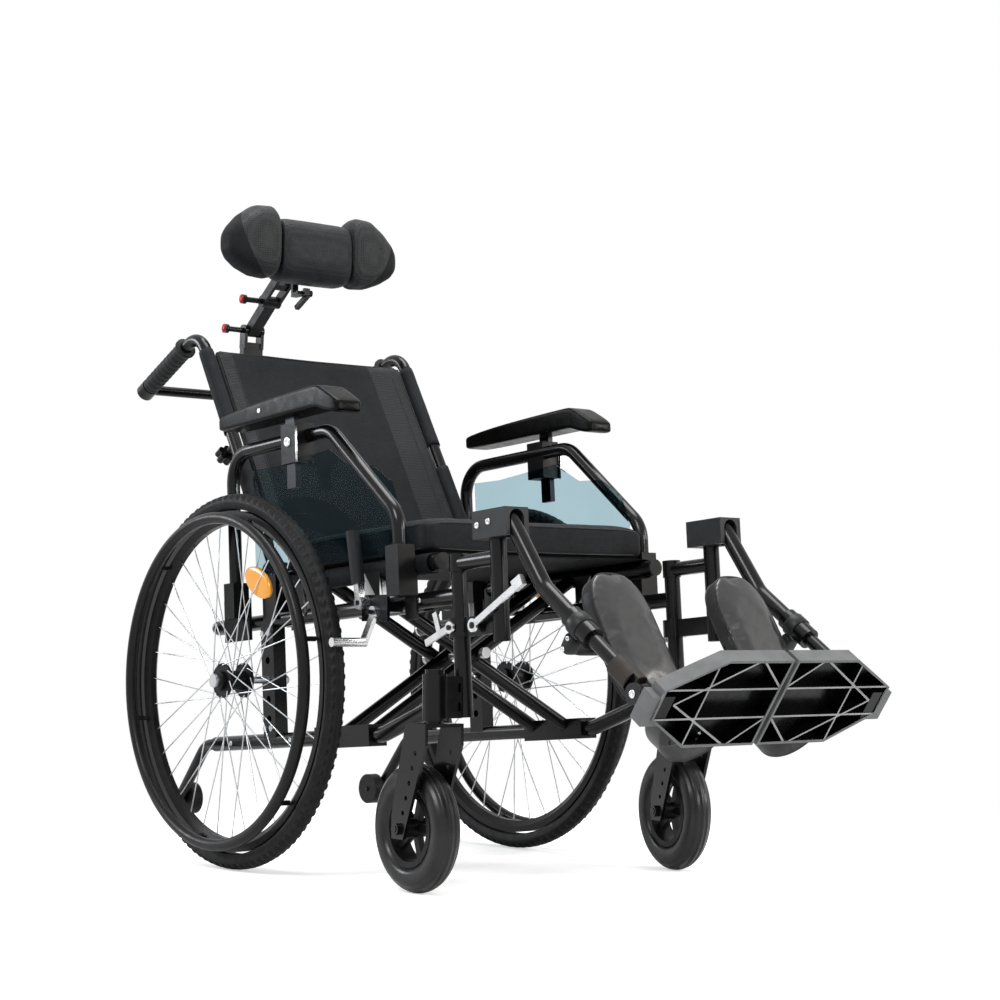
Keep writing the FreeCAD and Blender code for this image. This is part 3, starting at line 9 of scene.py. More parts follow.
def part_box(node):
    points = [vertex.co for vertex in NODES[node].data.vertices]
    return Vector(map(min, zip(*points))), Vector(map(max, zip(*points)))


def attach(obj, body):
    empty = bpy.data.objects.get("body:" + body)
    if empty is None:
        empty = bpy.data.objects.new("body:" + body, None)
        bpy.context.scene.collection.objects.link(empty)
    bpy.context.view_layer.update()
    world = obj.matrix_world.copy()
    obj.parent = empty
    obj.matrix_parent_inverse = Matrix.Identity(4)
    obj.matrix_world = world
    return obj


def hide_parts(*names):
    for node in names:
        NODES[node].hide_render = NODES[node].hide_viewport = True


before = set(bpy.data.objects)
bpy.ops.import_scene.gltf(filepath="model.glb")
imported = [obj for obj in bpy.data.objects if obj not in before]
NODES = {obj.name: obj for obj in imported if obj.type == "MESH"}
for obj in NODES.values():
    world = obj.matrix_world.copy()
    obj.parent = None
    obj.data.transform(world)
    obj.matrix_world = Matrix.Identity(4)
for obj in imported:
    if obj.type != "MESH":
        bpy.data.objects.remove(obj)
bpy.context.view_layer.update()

bl_info = {
    "name": "Reclining wheelchair",
    "version": (1, 0, 0),
    "blender": (4, 5, 0),
    "location": "View3D > Sidebar > Wheelchair",
    "description": "Builds the looks of a reclining wheelchair round its CAD frame",
    "category": "Object",
}

SIDES = (("right", -1), ("left", 1))
# How far each caster is turned at rest, in degrees.
CASTER_TURN = {"right": -3.0, "left": -13.6}
# Places to one side of the chair's middle, in millimetres.
RAIL_Y = 217
WHEEL_Y = 296.5
ARM_Y = 262
LEG_Y = 216
CALF_Y = 122
# The seat cushion's underside above the chassis, in millimetres.
SEAT_W = 168.2


def linear(code):
    """An sRGB hex colour as linear red, green, blue and alpha."""
    parts = [int(code[i:i + 2], 16) / 255 for i in (1, 3, 5)]
    return tuple(p / 12.92 if p <= 0.04045 else ((p + 0.055) / 1.055) ** 2.4 for p in parts) + (1.0,)


class Datum:
    """A point of the chair with a pitch in degrees."""

    def __init__(self, origin, pitch=0.0):
        angle = math.radians(pitch)
        self.origin = Vector(origin)
        self.x = Vector((math.cos(angle), 0, math.sin(angle)))
        self.y = Vector((0, 1, 0))
        self.z = Vector((-math.sin(angle), 0, math.cos(angle)))

    def at(self, x, y, z):
        """The point so many millimetres along, across and square to the datum."""
        return self.origin + (self.x * x + self.y * y + self.z * z) / 1000


WHEEL_RADIUS = (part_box("right_tyre")[1][2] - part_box("right_tyre")[0][2]) * 500
AXLE_X = (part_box("right_tyre")[1][0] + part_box("right_tyre")[0][0]) / 2
GROUND = Datum((AXLE_X, 0, 0))
CHASSIS = Datum(GROUND.at(0, 0, WHEEL_RADIUS), 4)
BACK = Datum(CHASSIS.at(17, 0, 174), 30.4)
HANDLE = Datum(BACK.at(0, 0, 498), 205.5)
LEG = Datum(Datum(CHASSIS.at(628, 0, 198), -53).at(126, 0, 0), -35)
CLAMP = Datum(LEG.at(93, 0, 0), -35)
CALF = Datum(LEG.at(93, 0, 0), -58)
HEAD = Datum(GROUND.at(-230, 0, 1071))


def length(name, description, default):
    """A length in metres that the panel shows."""
    return bpy.props.FloatProperty(
        name=name, description=description, default=default, subtype="DISTANCE", unit="LENGTH")


def swatch(name, description, code):
    """A colour that the panel shows, from its sRGB hex value."""
    return bpy.props.FloatVectorProperty(
        name=name, description=description, subtype="COLOR", size=4, default=linear(code))


class ChairSizes(bpy.types.PropertyGroup):
    tread_blocks: bpy.props.IntProperty(
        name="Tread blocks", description="Shoulder blocks round a rear tyre", default=105, min=40, max=200)
    tread_depth: length("Tread depth", "Height of a shoulder block", 0.0022)
    piping: length("Piping", "Radius of the piping on cushions", 0.0017)
    puff: bpy.props.FloatProperty(
        name="Puff", description="Air pressure that rounds the cushions", default=4.0, min=0.0, max=12.0)
    grip_ribs: bpy.props.IntProperty(
        name="Grip ribs", description="Ribs along a push grip", default=9, min=3, max=20)


class ChairColours(bpy.types.PropertyGroup):
    paint: swatch("Paint", "Powder coat on the tubes", "#0a0a0b")
    fabric: swatch("Fabric", "Nylon on the back and seat", "#1c1d1f")
    skin: swatch("Skin", "Leatherette on the leg pads", "#1a1a1b")
    foam: swatch("Foam", "Moulded foam of the arm pads", "#080807")
    plastic: swatch("Plastic", "Glass-filled nylon of the footplates", "#626364")
    amber: swatch("Amber", "Wheel reflectors", "#f9a300")
    background: swatch("Background", "Floor and backdrop", "#ffffff")


def add(tree, kind, settings=None, links=None, stops=(), **properties):
    """Adds one shader node with its settings and incoming links, and a ramp's places and colours."""
    node = tree.nodes.new(kind)
    for name, value in properties.items():
        setattr(node, name, value)
    for socket, value in (settings or {}).items():
        node.inputs[socket].default_value = value
    for socket, source in (links or {}).items():
        tree.links.new(source, node.inputs[socket])
    for index, (position, colour) in enumerate(stops):
        node.color_ramp.elements[index].position = position
        node.color_ramp.elements[index].color = colour
    return node


def per_mm(size):
    """The texture scale whose pattern repeats about every so many millimetres."""
    return 1000.0 / size


def per_band(size):
    """The wave scale whose bands repeat every so many millimetres."""
    return 1000.0 / size * math.pi / 10


def new_material(name, settings):
    """A material with its shader, and object coordinates in metres."""
    made = bpy.data.materials.new(name)
    made.use_nodes = True
    tree = made.node_tree
    shader = tree.nodes["Principled BSDF"]
    for socket, value in settings.items():
        shader.inputs[socket].default_value = value
    place = add(tree, "ShaderNodeTexCoord")
    return made, tree, shader, place.outputs["Object"]


def bumped(tree, shader, height, depth, strength=0.35):
    """Lets a height in 0 to 1 raise the surface by a depth in millimetres."""
    bump = add(tree, "ShaderNodeBump", {"Strength": strength, "Distance": depth / 1000}, {"Height": height})
    tree.links.new(bump.outputs["Normal"], shader.inputs["Normal"])
    return bump


def mottled(tree, shader, socket, place, size, low, high, detail=4.0):
    """Varies one shader value or colour over patches of a size in millimetres."""
    patches = add(tree, "ShaderNodeTexNoise", {"Scale": per_mm(size), "Detail": detail}, {"Vector": place})
    if isinstance(low, float):
        limits = {"From Min": 0.3, "From Max": 0.7, "To Min": low, "To Max": high}
        ramp = add(tree, "ShaderNodeMapRange", limits, {"Value": patches.outputs["Fac"]})
        tree.links.new(ramp.outputs["Result"], shader.inputs[socket])
        return patches
    ramp = add(tree, "ShaderNodeValToRGB", links={"Fac": patches.outputs["Fac"]},
               stops=((0.35, low), (0.68, high)))
    tree.links.new(ramp.outputs["Color"], shader.inputs[socket])
    return patches


def shade_of(colour, share):
    """A colour at a share of its brightness."""
    return tuple(c * share for c in colour[:3]) + (1.0,)


def powder_coat(colour):
    """Polyester powder coat baked on steel tube: a satin black skin with a faint orange peel."""
    made, tree, shader, place = new_material("powder_coated_steel", {
        "IOR": 1.5, "Specular IOR Level": 0.24})
    mottled(tree, shader, "Base Color", place, 60, shade_of(colour, 0.85), shade_of(colour, 1.25))
    mottled(tree, shader, "Roughness", place, 25, 0.17, 0.26)
    # Real orange peel is about 1 mm across, drawn at 2.5 mm to show.
    peel = add(tree, "ShaderNodeTexNoise", {"Scale": per_mm(2.5), "Detail": 2.0}, {"Vector": place})
    bumped(tree, shader, peel.outputs["Fac"], 0.06, 0.25)
    return made


def moulded_nylon(name, colour, roughness, grain):
    """Injection-moulded nylon with a spark-eroded grain, dull with a soft sheen on the edges."""
    made, tree, shader, place = new_material(name, {"IOR": 1.5, "Specular IOR Level": 0.16})
    mottled(tree, shader, "Base Color", place, 40, shade_of(colour, 0.86), shade_of(colour, 1.16))
    mottled(tree, shader, "Roughness", place, 12, roughness - 0.06, roughness + 0.08)
    sparks = add(tree, "ShaderNodeTexVoronoi", {"Scale": per_mm(grain)}, {"Vector": place})
    bumped(tree, shader, sparks.outputs["Distance"], 0.12, 0.3)
    return made


def zinc_plate(name, colour, roughness):
    """Bright zinc plate on pressed steel: silver, with a faint drawn grain and dull patches."""
    made, tree, shader, place = new_material(name, {"Metallic": 1.0})
    mottled(tree, shader, "Base Color", place, 18, shade_of(colour, 0.82), colour)
    stretched = add(tree, "ShaderNodeMapping", {"Scale": (30.0, 600.0, 600.0)}, {"Vector": place})
    grain = add(tree, "ShaderNodeTexNoise", {"Scale": 1.0, "Detail": 3.0},
                {"Vector": stretched.outputs["Vector"]})
    spread = add(tree, "ShaderNodeMapRange", {"To Min": roughness - 0.07, "To Max": roughness + 0.12},
                 {"Value": grain.outputs["Fac"]})
    tree.links.new(spread.outputs["Result"], shader.inputs["Roughness"])
    bumped(tree, shader, grain.outputs["Fac"], 0.05, 0.2)
    return made


def tyre_rubber():
    """Vulcanised carbon-black rubber: dark grey, dull, with a dusty bloom on the sidewall."""
    made, tree, shader, place = new_material("tyre_rubber", {"IOR": 1.52, "Specular IOR Level": 0.16})
    mottled(tree, shader, "Base Color", place, 30, linear("#0d0d0e"), linear("#171718"))
    mottled(tree, shader, "Roughness", place, 9, 0.48, 0.64)
    pores = add(tree, "ShaderNodeTexNoise", {"Scale": per_mm(1.8), "Detail": 3.0}, {"Vector": place})
    bumped(tree, shader, pores.outputs["Fac"], 0.12, 0.3)
    return made


def woven_nylon(name, colour, thread, pitch):
    """Plain-woven nylon: crossed threads that catch the light in turn, with a soft sheen."""
    made, tree, shader, place = new_material(name, {
        "IOR": 1.5, "Sheen Weight": 0.02, "Sheen Roughness": 0.45, "Specular IOR Level": 0.08})
    turned = add(tree, "ShaderNodeMapping", {"Rotation": (0.0, math.radians(pitch), 0.0)}, {"Vector": place})
    # Real threads are about 0.4 mm apart, drawn wider so that the weave shows.
    weft = add(tree, "ShaderNodeTexWave", {"Scale": per_band(thread), "Distortion": 0.4, "Detail": 1.0},
               {"Vector": turned.outputs["Vector"]}, bands_direction="Z")
    warp = add(tree, "ShaderNodeTexWave", {"Scale": per_band(thread), "Distortion": 0.4, "Detail": 1.0},
               {"Vector": turned.outputs["Vector"]}, bands_direction="Y")
    weave = add(tree, "ShaderNodeMath", links={0: weft.outputs["Fac"], 1: warp.outputs["Fac"]},
                operation="MULTIPLY")
    patches = add(tree, "ShaderNodeTexNoise", {"Scale": per_mm(45), "Detail": 4.0}, {"Vector": place})
    total = add(tree, "ShaderNodeMath", {1: 0.5}, {0: weave.outputs[0], 2: patches.outputs["Fac"]},
                operation="MULTIPLY_ADD")
    ramp = add(tree, "ShaderNodeValToRGB", links={"Fac": total.outputs[0]},
               stops=((0.3, shade_of(colour, 0.75)), (1.0, shade_of(colour, 1.3))))
    tree.links.new(ramp.outputs["Color"], shader.inputs["Base Color"])
    mottled(tree, shader, "Roughness", place, 8, 0.58, 0.74)
    bumped(tree, shader, weave.outputs[0], 0.35, 0.5)
    return made


def air_mesh(name, colour, cell):
    """Knitted spacer mesh: rows of small open cells, painted dark in their middles as shade inside the holes.
    """
    made, tree, shader, place = new_material(name, {
        "IOR": 1.5, "Sheen Weight": 0.06, "Sheen Roughness": 0.35, "Specular IOR Level": 0.14})
    # The knit's cells are about 1.5 mm, drawn wider so that they show.
    cells = add(tree, "ShaderNodeTexVoronoi", {"Scale": per_mm(cell), "Randomness": 0.15}, {"Vector": place})
    # The cell walls are the yarn's tone; the dark cell middles are painted shade in the open cells.
    ramp = add(tree, "ShaderNodeValToRGB", links={"Fac": cells.outputs["Distance"]},
               stops=((0.15, shade_of(colour, 0.35)), (0.55, shade_of(colour, 1.7))))
    tree.links.new(ramp.outputs["Color"], shader.inputs["Base Color"])
    mottled(tree, shader, "Roughness", place, 10, 0.45, 0.62)
    bumped(tree, shader, cells.outputs["Distance"], 0.8, 0.7)
    return made


def leatherette(name, colour, grain, roughness, shine=0.22):
    """Vinyl-coated cloth embossed with a leather grain, with a soft oily sheen."""
    made, tree, shader, place = new_material(name, {"IOR": 1.5, "Specular IOR Level": shine})
    mottled(tree, shader, "Base Color", place, 50, shade_of(colour, 0.85), shade_of(colour, 1.2))
    mottled(tree, shader, "Roughness", place, 14, roughness - 0.06, roughness + 0.07)
    # The embossed grain is about 1 mm, drawn wider so that it shows.
    creases = add(tree, "ShaderNodeTexVoronoi", {"Scale": per_mm(grain)}, {"Vector": place},
                  feature="DISTANCE_TO_EDGE")
    bumped(tree, shader, creases.outputs["Distance"], 0.3, 0.35)
    return made


def smoked_sheet():
    """Smoked polycarbonate sheet, cut and polished: blue-grey against the light, dark against dark cloth."""
    made, tree, shader, place = new_material("smoked_polycarbonate", {
        "Transmission Weight": 1.0, "IOR": 1.06, "Specular IOR Level": 0.2})
    mottled(tree, shader, "Base Color", place, 120, linear("#a6c1ca"), linear("#adc8d0"))
    mottled(tree, shader, "Roughness", place, 30, 0.0, 0.012)
    return made


def webbing_cloth():
    """Woven polyester webbing: a dull black strap with a diagonal twill."""
    made, tree, shader, place = new_material("polyester_webbing", {"IOR": 1.5, "Sheen Weight": 0.2})
    twill = add(tree, "ShaderNodeTexWave", {"Scale": per_band(2.6), "Distortion": 0.6}, {"Vector": place},
                bands_direction="DIAGONAL")
    ramp = add(tree, "ShaderNodeValToRGB", links={"Fac": twill.outputs["Fac"]},
               stops=((0.0, linear("#101011")), (1.0, linear("#202122"))))
    tree.links.new(ramp.outputs["Color"], shader.inputs["Base Color"])
    mottled(tree, shader, "Roughness", place, 8, 0.62, 0.78)
    bumped(tree, shader, twill.outputs["Fac"], 0.3, 0.4)
    return made


def caster_tyre(name, turn):
    """Cast polyurethane with ridges round the tread, so that it shows rings of light."""
    made, tree, shader, place = new_material(name, {"IOR": 1.5, "Specular IOR Level": 0.3})
    mottled(tree, shader, "Base Color", place, 30, linear("#0e0e0f"), linear("#151516"))
    mottled(tree, shader, "Roughness", place, 12, 0.26, 0.38)
    turned = add(tree, "ShaderNodeMapping", {"Rotation": (0.0, 0.0, math.radians(-turn))}, {"Vector": place})
    ridges = add(tree, "ShaderNodeTexWave", {"Scale": per_band(9.0)}, {"Vector": turned.outputs["Vector"]},
                 bands_direction="Y")
    bumped(tree, shader, ridges.outputs["Fac"], 1.5, 0.8)
    return made


def amber_acrylic(colour):
    """Moulded amber acrylic with rows of corner prisms behind a polished face, and a faint painted glow in
    its own colour.
    """
    # The emission is a painted glow: the reflector shines faintly, though it is no lamp.
    made, tree, shader, place = new_material("amber_acrylic", {
        "IOR": 1.49, "Roughness": 0.12, "Coat Weight": 0.6, "Coat Roughness": 0.05,
        "Emission Color": colour, "Emission Strength": 0.12})
    prisms = add(tree, "ShaderNodeTexVoronoi", {"Scale": per_mm(3.2), "Randomness": 0.0}, {"Vector": place})
    ramp = add(tree, "ShaderNodeValToRGB", links={"Fac": prisms.outputs["Distance"]},
               stops=((0.0, shade_of(colour, 1.0)), (1.0, shade_of(colour, 0.55))))
    tree.links.new(ramp.outputs["Color"], shader.inputs["Base Color"])
    bumped(tree, shader, prisms.outputs["Distance"], 0.4, 0.5)
    return made


def seen_rays(tree):
    """A shader value of 1 for rays that show the background: to the camera, off metal and through glass."""
    rays = add(tree, "ShaderNodeLightPath")
    seen = rays.outputs["Is Camera Ray"]
    for kind in ("Is Glossy Ray", "Is Transmission Ray"):
        either = add(tree, "ShaderNodeMath", links={0: seen, 1: rays.outputs[kind]}, operation="MAXIMUM")
        seen = either.outputs[0]
    return seen


FINISHES = {}


def make_finishes(colours):
    """Every finish of the chair, by the name the pieces use."""
    black = linear("#0e0e0f")
    FINISHES.update({
        "paint": powder_coat(tuple(colours.paint)),
        "nylon": moulded_nylon("black_nylon", black, 0.42, 1.6),
        "housing": moulded_nylon("charcoal_nylon", linear("#242526"), 0.4, 1.8),
        "footplate": moulded_nylon("glass_filled_nylon", tuple(colours.plastic), 0.5, 2.0),
        "coated": moulded_nylon("vinyl_coated_alloy", linear("#141313"), 0.34, 2.4),
        "grip": moulded_nylon("grip_rubber", linear("#1f2021"), 0.58, 1.4),
        "red": moulded_nylon("red_acetal", linear("#b3151b"), 0.3, 2.0),
        "zinc": zinc_plate("bright_zinc_plate", linear("#d9dadb"), 0.24),
        "bolt": zinc_plate("zinc_plated_bolts", linear("#c4c6c8"), 0.3),
        "tyre": tyre_rubber(),
        "fabric": woven_nylon("woven_nylon", tuple(colours.fabric), 3.0, 30.4),
        "sling": woven_nylon("seat_canvas", linear("#0f1012"), 3.2, 4.0),
        "mesh": air_mesh("knitted_air_mesh", linear("#1b1c1e"), 3.0),
        "rib_mesh": air_mesh("ribbed_air_mesh", linear("#232425"), 3.6),
        "skin": leatherette("embossed_leatherette", tuple(colours.skin), 2.6, 0.34, 0.6),
        "grained": leatherette("coarse_leatherette", shade_of(colours.skin, 1.5), 3.2, 0.5),
        "foam": leatherette("integral_skin_foam", tuple(colours.foam), 3.4, 0.3, 0.07),
        "piping": leatherette("piping_cord", linear("#0c0c0d"), 2.0, 0.4),
        "sheet": smoked_sheet(),
        "webbing": webbing_cloth(),
        "amber": amber_acrylic(tuple(colours.amber)),
        "right_caster": caster_tyre("right_polyurethane_tyre", CASTER_TURN["right"]),
        "left_caster": caster_tyre("left_polyurethane_tyre", CASTER_TURN["left"]),
        "spoke": zinc_plate("stainless_spokes", linear("#c9cbcd"), 0.28),
        "post": zinc_plate("black_zinc_posts", linear("#26272a"), 0.3),
        "knurl": moulded_nylon("knurled_rubber_sleeve", linear("#2b2622"), 0.55, 2.2),
        # Pale grey on the rib edges under the footplates is a painted highlight, as if the edges caught the
        # light.
        "rib_edge_highlight": moulded_nylon("painted_highlight_rib_edges", linear("#8c8d8e"), 0.4, 2.0),
        # Near black between the ribs under the footplates is painted shade in the recesses; the footplate
        # itself is grey.
        "pocket_shade": moulded_nylon("painted_shade_nylon", linear("#070708"), 0.24, 3.0),
        "band": woven_nylon("blue_grey_nylon", linear("#1e2023"), 3.0, 30.4),
    })


def paint(finish, *names):
    """Gives CAD nodes a finish."""
    for name in names:
        mesh = NODES[name].data
        mesh.materials.clear()
        mesh.materials.append(FINISHES[finish])


def paint_where(finish, name, test):
    """Gives a second finish to the faces of a CAD node whose middle passes a test."""
    mesh = NODES[name].data
    mesh.materials.append(FINISHES[finish])
    for face in mesh.polygons:
        if test(face.center):
            face.material_index = len(mesh.materials) - 1


def piece(name, build, finish, body, smooth=True):
    """A mesh object from a bmesh, with its finish, on its body."""
    mesh = bpy.data.meshes.new(name)
    bmesh.ops.recalc_face_normals(build, faces=build.faces)
    build.to_mesh(mesh)
    build.free()
    for face in mesh.polygons:
        face.use_smooth = smooth
    made = bpy.data.objects.new(name, mesh)
    bpy.context.scene.collection.objects.link(made)
    mesh.materials.append(FINISHES[finish])
    if body:
        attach(made, body)
    return made


def loft(rings, closed=True, caps=True):
    """A skin through rings of points with the same count."""
    build = bmesh.new()
    made = [[build.verts.new(p) for p in ring] for ring in rings]
    count = len(rings[0])
    for first, second in zip(made, made[1:]):
        for i in range(count if closed else count - 1):
            j = (i + 1) % count
            build.faces.new((first[i], first[j], second[j], second[i]))
    if caps and closed:
        build.faces.new(made[0])
        build.faces.new(list(reversed(made[-1])))
    return build


def rounded(centre, across, up, half, low, high, count=28, power=4.0):
    """A ring with rounded corners, its height from low to high, in millimetres."""
    points = []
    middle = (low + high) / 2
    tall = (high - low) / 2
    for i in range(count):
        angle = 2 * math.pi * (i + 0.5) / count
        c, s = math.cos(angle), math.sin(angle)
        x = math.copysign(abs(c) ** (2 / power), c) * half
        z = middle + math.copysign(abs(s) ** (2 / power), s) * tall
        points.append(centre + across * (x / 1000) + up * (z / 1000))
    return points


def round_bar(path, radius, segments=12, closed=False):
    """A round bar along points, both in metres."""
    build = bmesh.new()
    rings = []
    count = len(path)
    previous = None
    for i, point in enumerate(path):
        before = path[(i - 1) % count] if closed or i else point
        after = path[(i + 1) % count] if closed or i < count - 1 else point
        run = (after - before).normalized()
        side = previous - run * previous.dot(run) if previous else run.orthogonal()
        side.normalize()
        previous = side
        other = run.cross(side)
        rings.append([build.verts.new(point + (side * math.cos(a) + other * math.sin(a)) * radius)
                      for a in (2 * math.pi * k / segments for k in range(segments))])
    pairs = list(zip(rings, rings[1:])) + ([(rings[-1], rings[0])] if closed else [])
    for first, second in pairs:
        for k in range(segments):
            n = (k + 1) % segments
            build.faces.new((first[k], first[n], second[n], second[k]))
    if not closed:
        build.faces.new(rings[0])
        build.faces.new(list(reversed(rings[-1])))
    return build


def lathe(centre, axis, profile, segments=32):
    """A turned piece: profile points are a radius and a place along the axis, in millimetres."""
    axis = axis.normalized()
    side = axis.orthogonal().normalized()
    other = axis.cross(side)
    rings = []
    for radius, along in profile:
        rings.append([centre + axis * (along / 1000)
                      + (side * math.cos(a) + other * math.sin(a)) * (max(radius, 0.01) / 1000)
                      for a in (2 * math.pi * k / segments for k in range(segments))])
    return loft(rings)


def screw(name, centre, axis, radius, finish, body, height=2.2):
    """A dome-headed screw with a socket in its head."""
    profile = ((radius, -1.0), (radius, height * 0.35), (radius * 0.85, height * 0.8), (radius * 0.5, height),
               (radius * 0.46, height * 0.9), (radius * 0.44, height * 0.3), (0, height * 0.3))
    return piece(name, lathe(centre, axis, profile, 20), finish, body)


def thickened(made, thickness, offset):
    """Gives an open skin a thickness in metres; an offset of 1 puts it outside, 0 to both sides."""
    modifier = made.modifiers.new("Thickness", "SOLIDIFY")
    modifier.thickness = thickness
    modifier.offset = offset


def edged(node, width, segments):
    """Breaks the sharp edges of a CAD node by a width in metres."""
    modifier = NODES[node].modifiers.new("Edges", "BEVEL")
    modifier.width = width
    modifier.segments = segments


def subdivided(made, levels=1):
    """Rounds a mesh by subdivision."""
    modifier = made.modifiers.new("Subdivision", "SUBSURF")
    modifier.levels = levels
    modifier.render_levels = levels
    return made


def inflated(made, pressure, cap, voxel=0.006, floor=None, frames=20):
    """Fills a closed skin with air, as foam fills a cover, and keeps the result in the mesh."""
    scene = bpy.context.scene
    view = bpy.context.view_layer
    view.objects.active = made
    made.data.remesh_voxel_size = voxel
    with bpy.context.temp_override(object=made, active_object=made, selected_objects=[made]):
        bpy.ops.object.voxel_remesh()
    start = [v.co.copy() for v in made.data.vertices]
    cloth = made.modifiers.new("Cloth", "CLOTH")
    cloth.settings.quality = 4
    cloth.settings.mass = 0.25
    cloth.settings.tension_stiffness = 18
    cloth.settings.compression_stiffness = 18
    cloth.settings.shear_stiffness = 6
    cloth.settings.bending_stiffness = 1.2
    cloth.settings.use_pressure = True
    cloth.settings.uniform_pressure_force = pressure
    cloth.settings.effector_weights.gravity = 0
    cloth.collision_settings.use_collision = False
    cloth.point_cache.frame_start = 1
    cloth.point_cache.frame_end = frames
    for number in range(1, frames + 1):
        scene.frame_set(number)
    shape = made.evaluated_get(bpy.context.evaluated_depsgraph_get()).to_mesh()
    moved = [v.co.copy() for v in shape.vertices]
    made.modifiers.remove(cloth)
    scene.frame_set(1)
    for vertex, old, new in zip(made.data.vertices, start, moved):
        step = new - old
        if step.length > cap:
            step *= cap / step.length
        vertex.co = old + step
        if floor:
            depth = (vertex.co - floor[0]).dot(floor[1])
            if depth < 0:
                vertex.co -= floor[1] * depth
    for face in made.data.polygons:
        face.use_smooth = True
    return made


def piped(name, made, path, radius, finish, body, closed=True):
    """Piping laid on a cushion's skin along a path near it."""
    skin = BVHTree.FromObject(made, bpy.context.evaluated_depsgraph_get())
    inverse = made.matrix_world.inverted()
    line = []
    for point in path:
        hit = skin.find_nearest(inverse @ point)
        line.append(made.matrix_world @ hit[0] if hit[0] else point)
    count = len(line)
    for _ in range(3):
        line = [(line[(i - 1) % count] + line[i] * 2 + line[(i + 1) % count]) / 4
                if closed or 0 < i < count - 1 else line[i] for i in range(count)]
    return piece(name, round_bar(line, radius, 8, closed), finish, body)


def other_side(build):
    """The same mesh on the other side of the chair."""
    bmesh.ops.transform(build, matrix=Matrix.Scale(-1, 4, Vector((0, 1, 0))), verts=build.verts)
    bmesh.ops.reverse_faces(build, faces=build.faces)
    return build


def copied(made, name, body):
    """A mirrored copy of a finished piece for the left side."""
    build = bmesh.new()
    build.from_mesh(made.data)
    build.transform(made.matrix_world)
    twin = piece(name, other_side(build), "paint", body)
    twin.data.materials.clear()
    for finish in made.data.materials:
        twin.data.materials.append(finish)
    for index, face in enumerate(made.data.polygons):
        twin.data.polygons[index].material_index = face.material_index
    for modifier in made.modifiers:
        if modifier.type == "SUBSURF":
            subdivided(twin, modifier.render_levels)
    return twin


def tyre_mesh(side, sizes):
    """A rear tyre with smooth walls and blocks along both shoulders."""
    centre = GROUND.at(0, side * WHEEL_Y, WHEEL_RADIUS)
    section = 17.0
    major = WHEEL_RADIUS - section
    steps = sizes.tread_blocks * 4
    depth = sizes.tread_depth * 1000
    angles = [-128, -116, -104, -92, -80, -70, -60, -58, -46, -34, -32, -22, -11, 0,
              11, 22, 32, 34, 46, 58, 60, 70, 80, 92, 104, 116, 128]
    build = bmesh.new()
    rings = []
    for number in range(steps):
        turn = 2 * math.pi * number / steps
        phase = number % 4
        ring = []
        for angle in angles:
            lean = math.radians(angle)
            radius = section - depth
            flank = abs(angle)
            if 34 <= flank <= 58:
                shifted = (phase + (2 if angle > 0 else 0)) % 4
                radius += depth if shifted in (0, 1) else -depth * 0.4
            elif flank <= 22:
                radius += depth * (0.75 if phase in (0, 1, 2) else 0.25)
            elif 60 < flank < 92:
                radius += depth * 0.6
            out = major + radius * math.cos(lean)
            wide = radius * math.sin(lean)
            ring.append(build.verts.new(centre + Vector((
                out * math.cos(turn), wide, out * math.sin(turn))) / 1000))
        rings.append(ring)
    for number in range(steps):
        first = rings[number]
        second = rings[(number + 1) % steps]
        for i in range(len(angles) - 1):
            build.faces.new((first[i], first[i + 1], second[i + 1], second[i]))
        build.faces.new((first[-1], first[0], second[0], second[-1]))
    return build


class CHAIR_OT_frame(bpy.types.Operator):
    """Finishes the side frames, braces, sockets and everything else that stays still"""
    bl_idname = "chair.frame"
    bl_label = "Frame"

    def execute(self, context):
        paint("paint", "side_frames", "cross_brace_a", "cross_brace_b", "armrest_tubes", "antitip_tubes",
              "caster_housings", "gas_spring_cylinders")
        paint("bolt", "frame_fittings", "gas_spring_rods")
        paint_where("nylon", "frame_fittings", self.on_seat_rail)
        paint("nylon", "armrest_sockets")
        for node in ("armrest_sockets", "side_frames", "caster_housings"):
            edged(node, 0.0008, 2)
        paint("sheet", "side_panels")
        paint("tyre", "antitip_rollers")
        for name, side in SIDES:
            for u, w in ((330, 97), (420, 97), (60, -100), (250, -100), (-120, -100)):
                centre = CHASSIS.at(u, side * 229.0, w)
                screw(f"{name}_rail_screw_{u}_{w + 200}", centre, Vector((0, side, 0)), 4.2, "bolt", "frame")
            knob = CHASSIS.at(149, side * 276.2, 373)
            screw(f"{name}_clamp_screw", knob, Vector((0, side, 0)), 8.5, "zinc", "frame", height=3.0)
            rings = [rounded(CHASSIS.at(174 + lean, side * 276.6, w), CHASSIS.x, CHASSIS.y, 2.6, -0.9, 0.9,
                             16, 4) for w, lean in ((337, 0), (356, 0.4), (376, 0.8), (395, 1.2))]
            piece(f"{name}_clamp_strip", loft(rings), "zinc", "frame")
        return {"FINISHED"}

    def on_seat_rail(self, point):
        """Whether a point is on a rail plug or saddle, which are nylon."""
        away = point - CHASSIS.origin
        return 0.128 < away.dot(CHASSIS.z) < 0.17 and abs(point.y) > 0.18


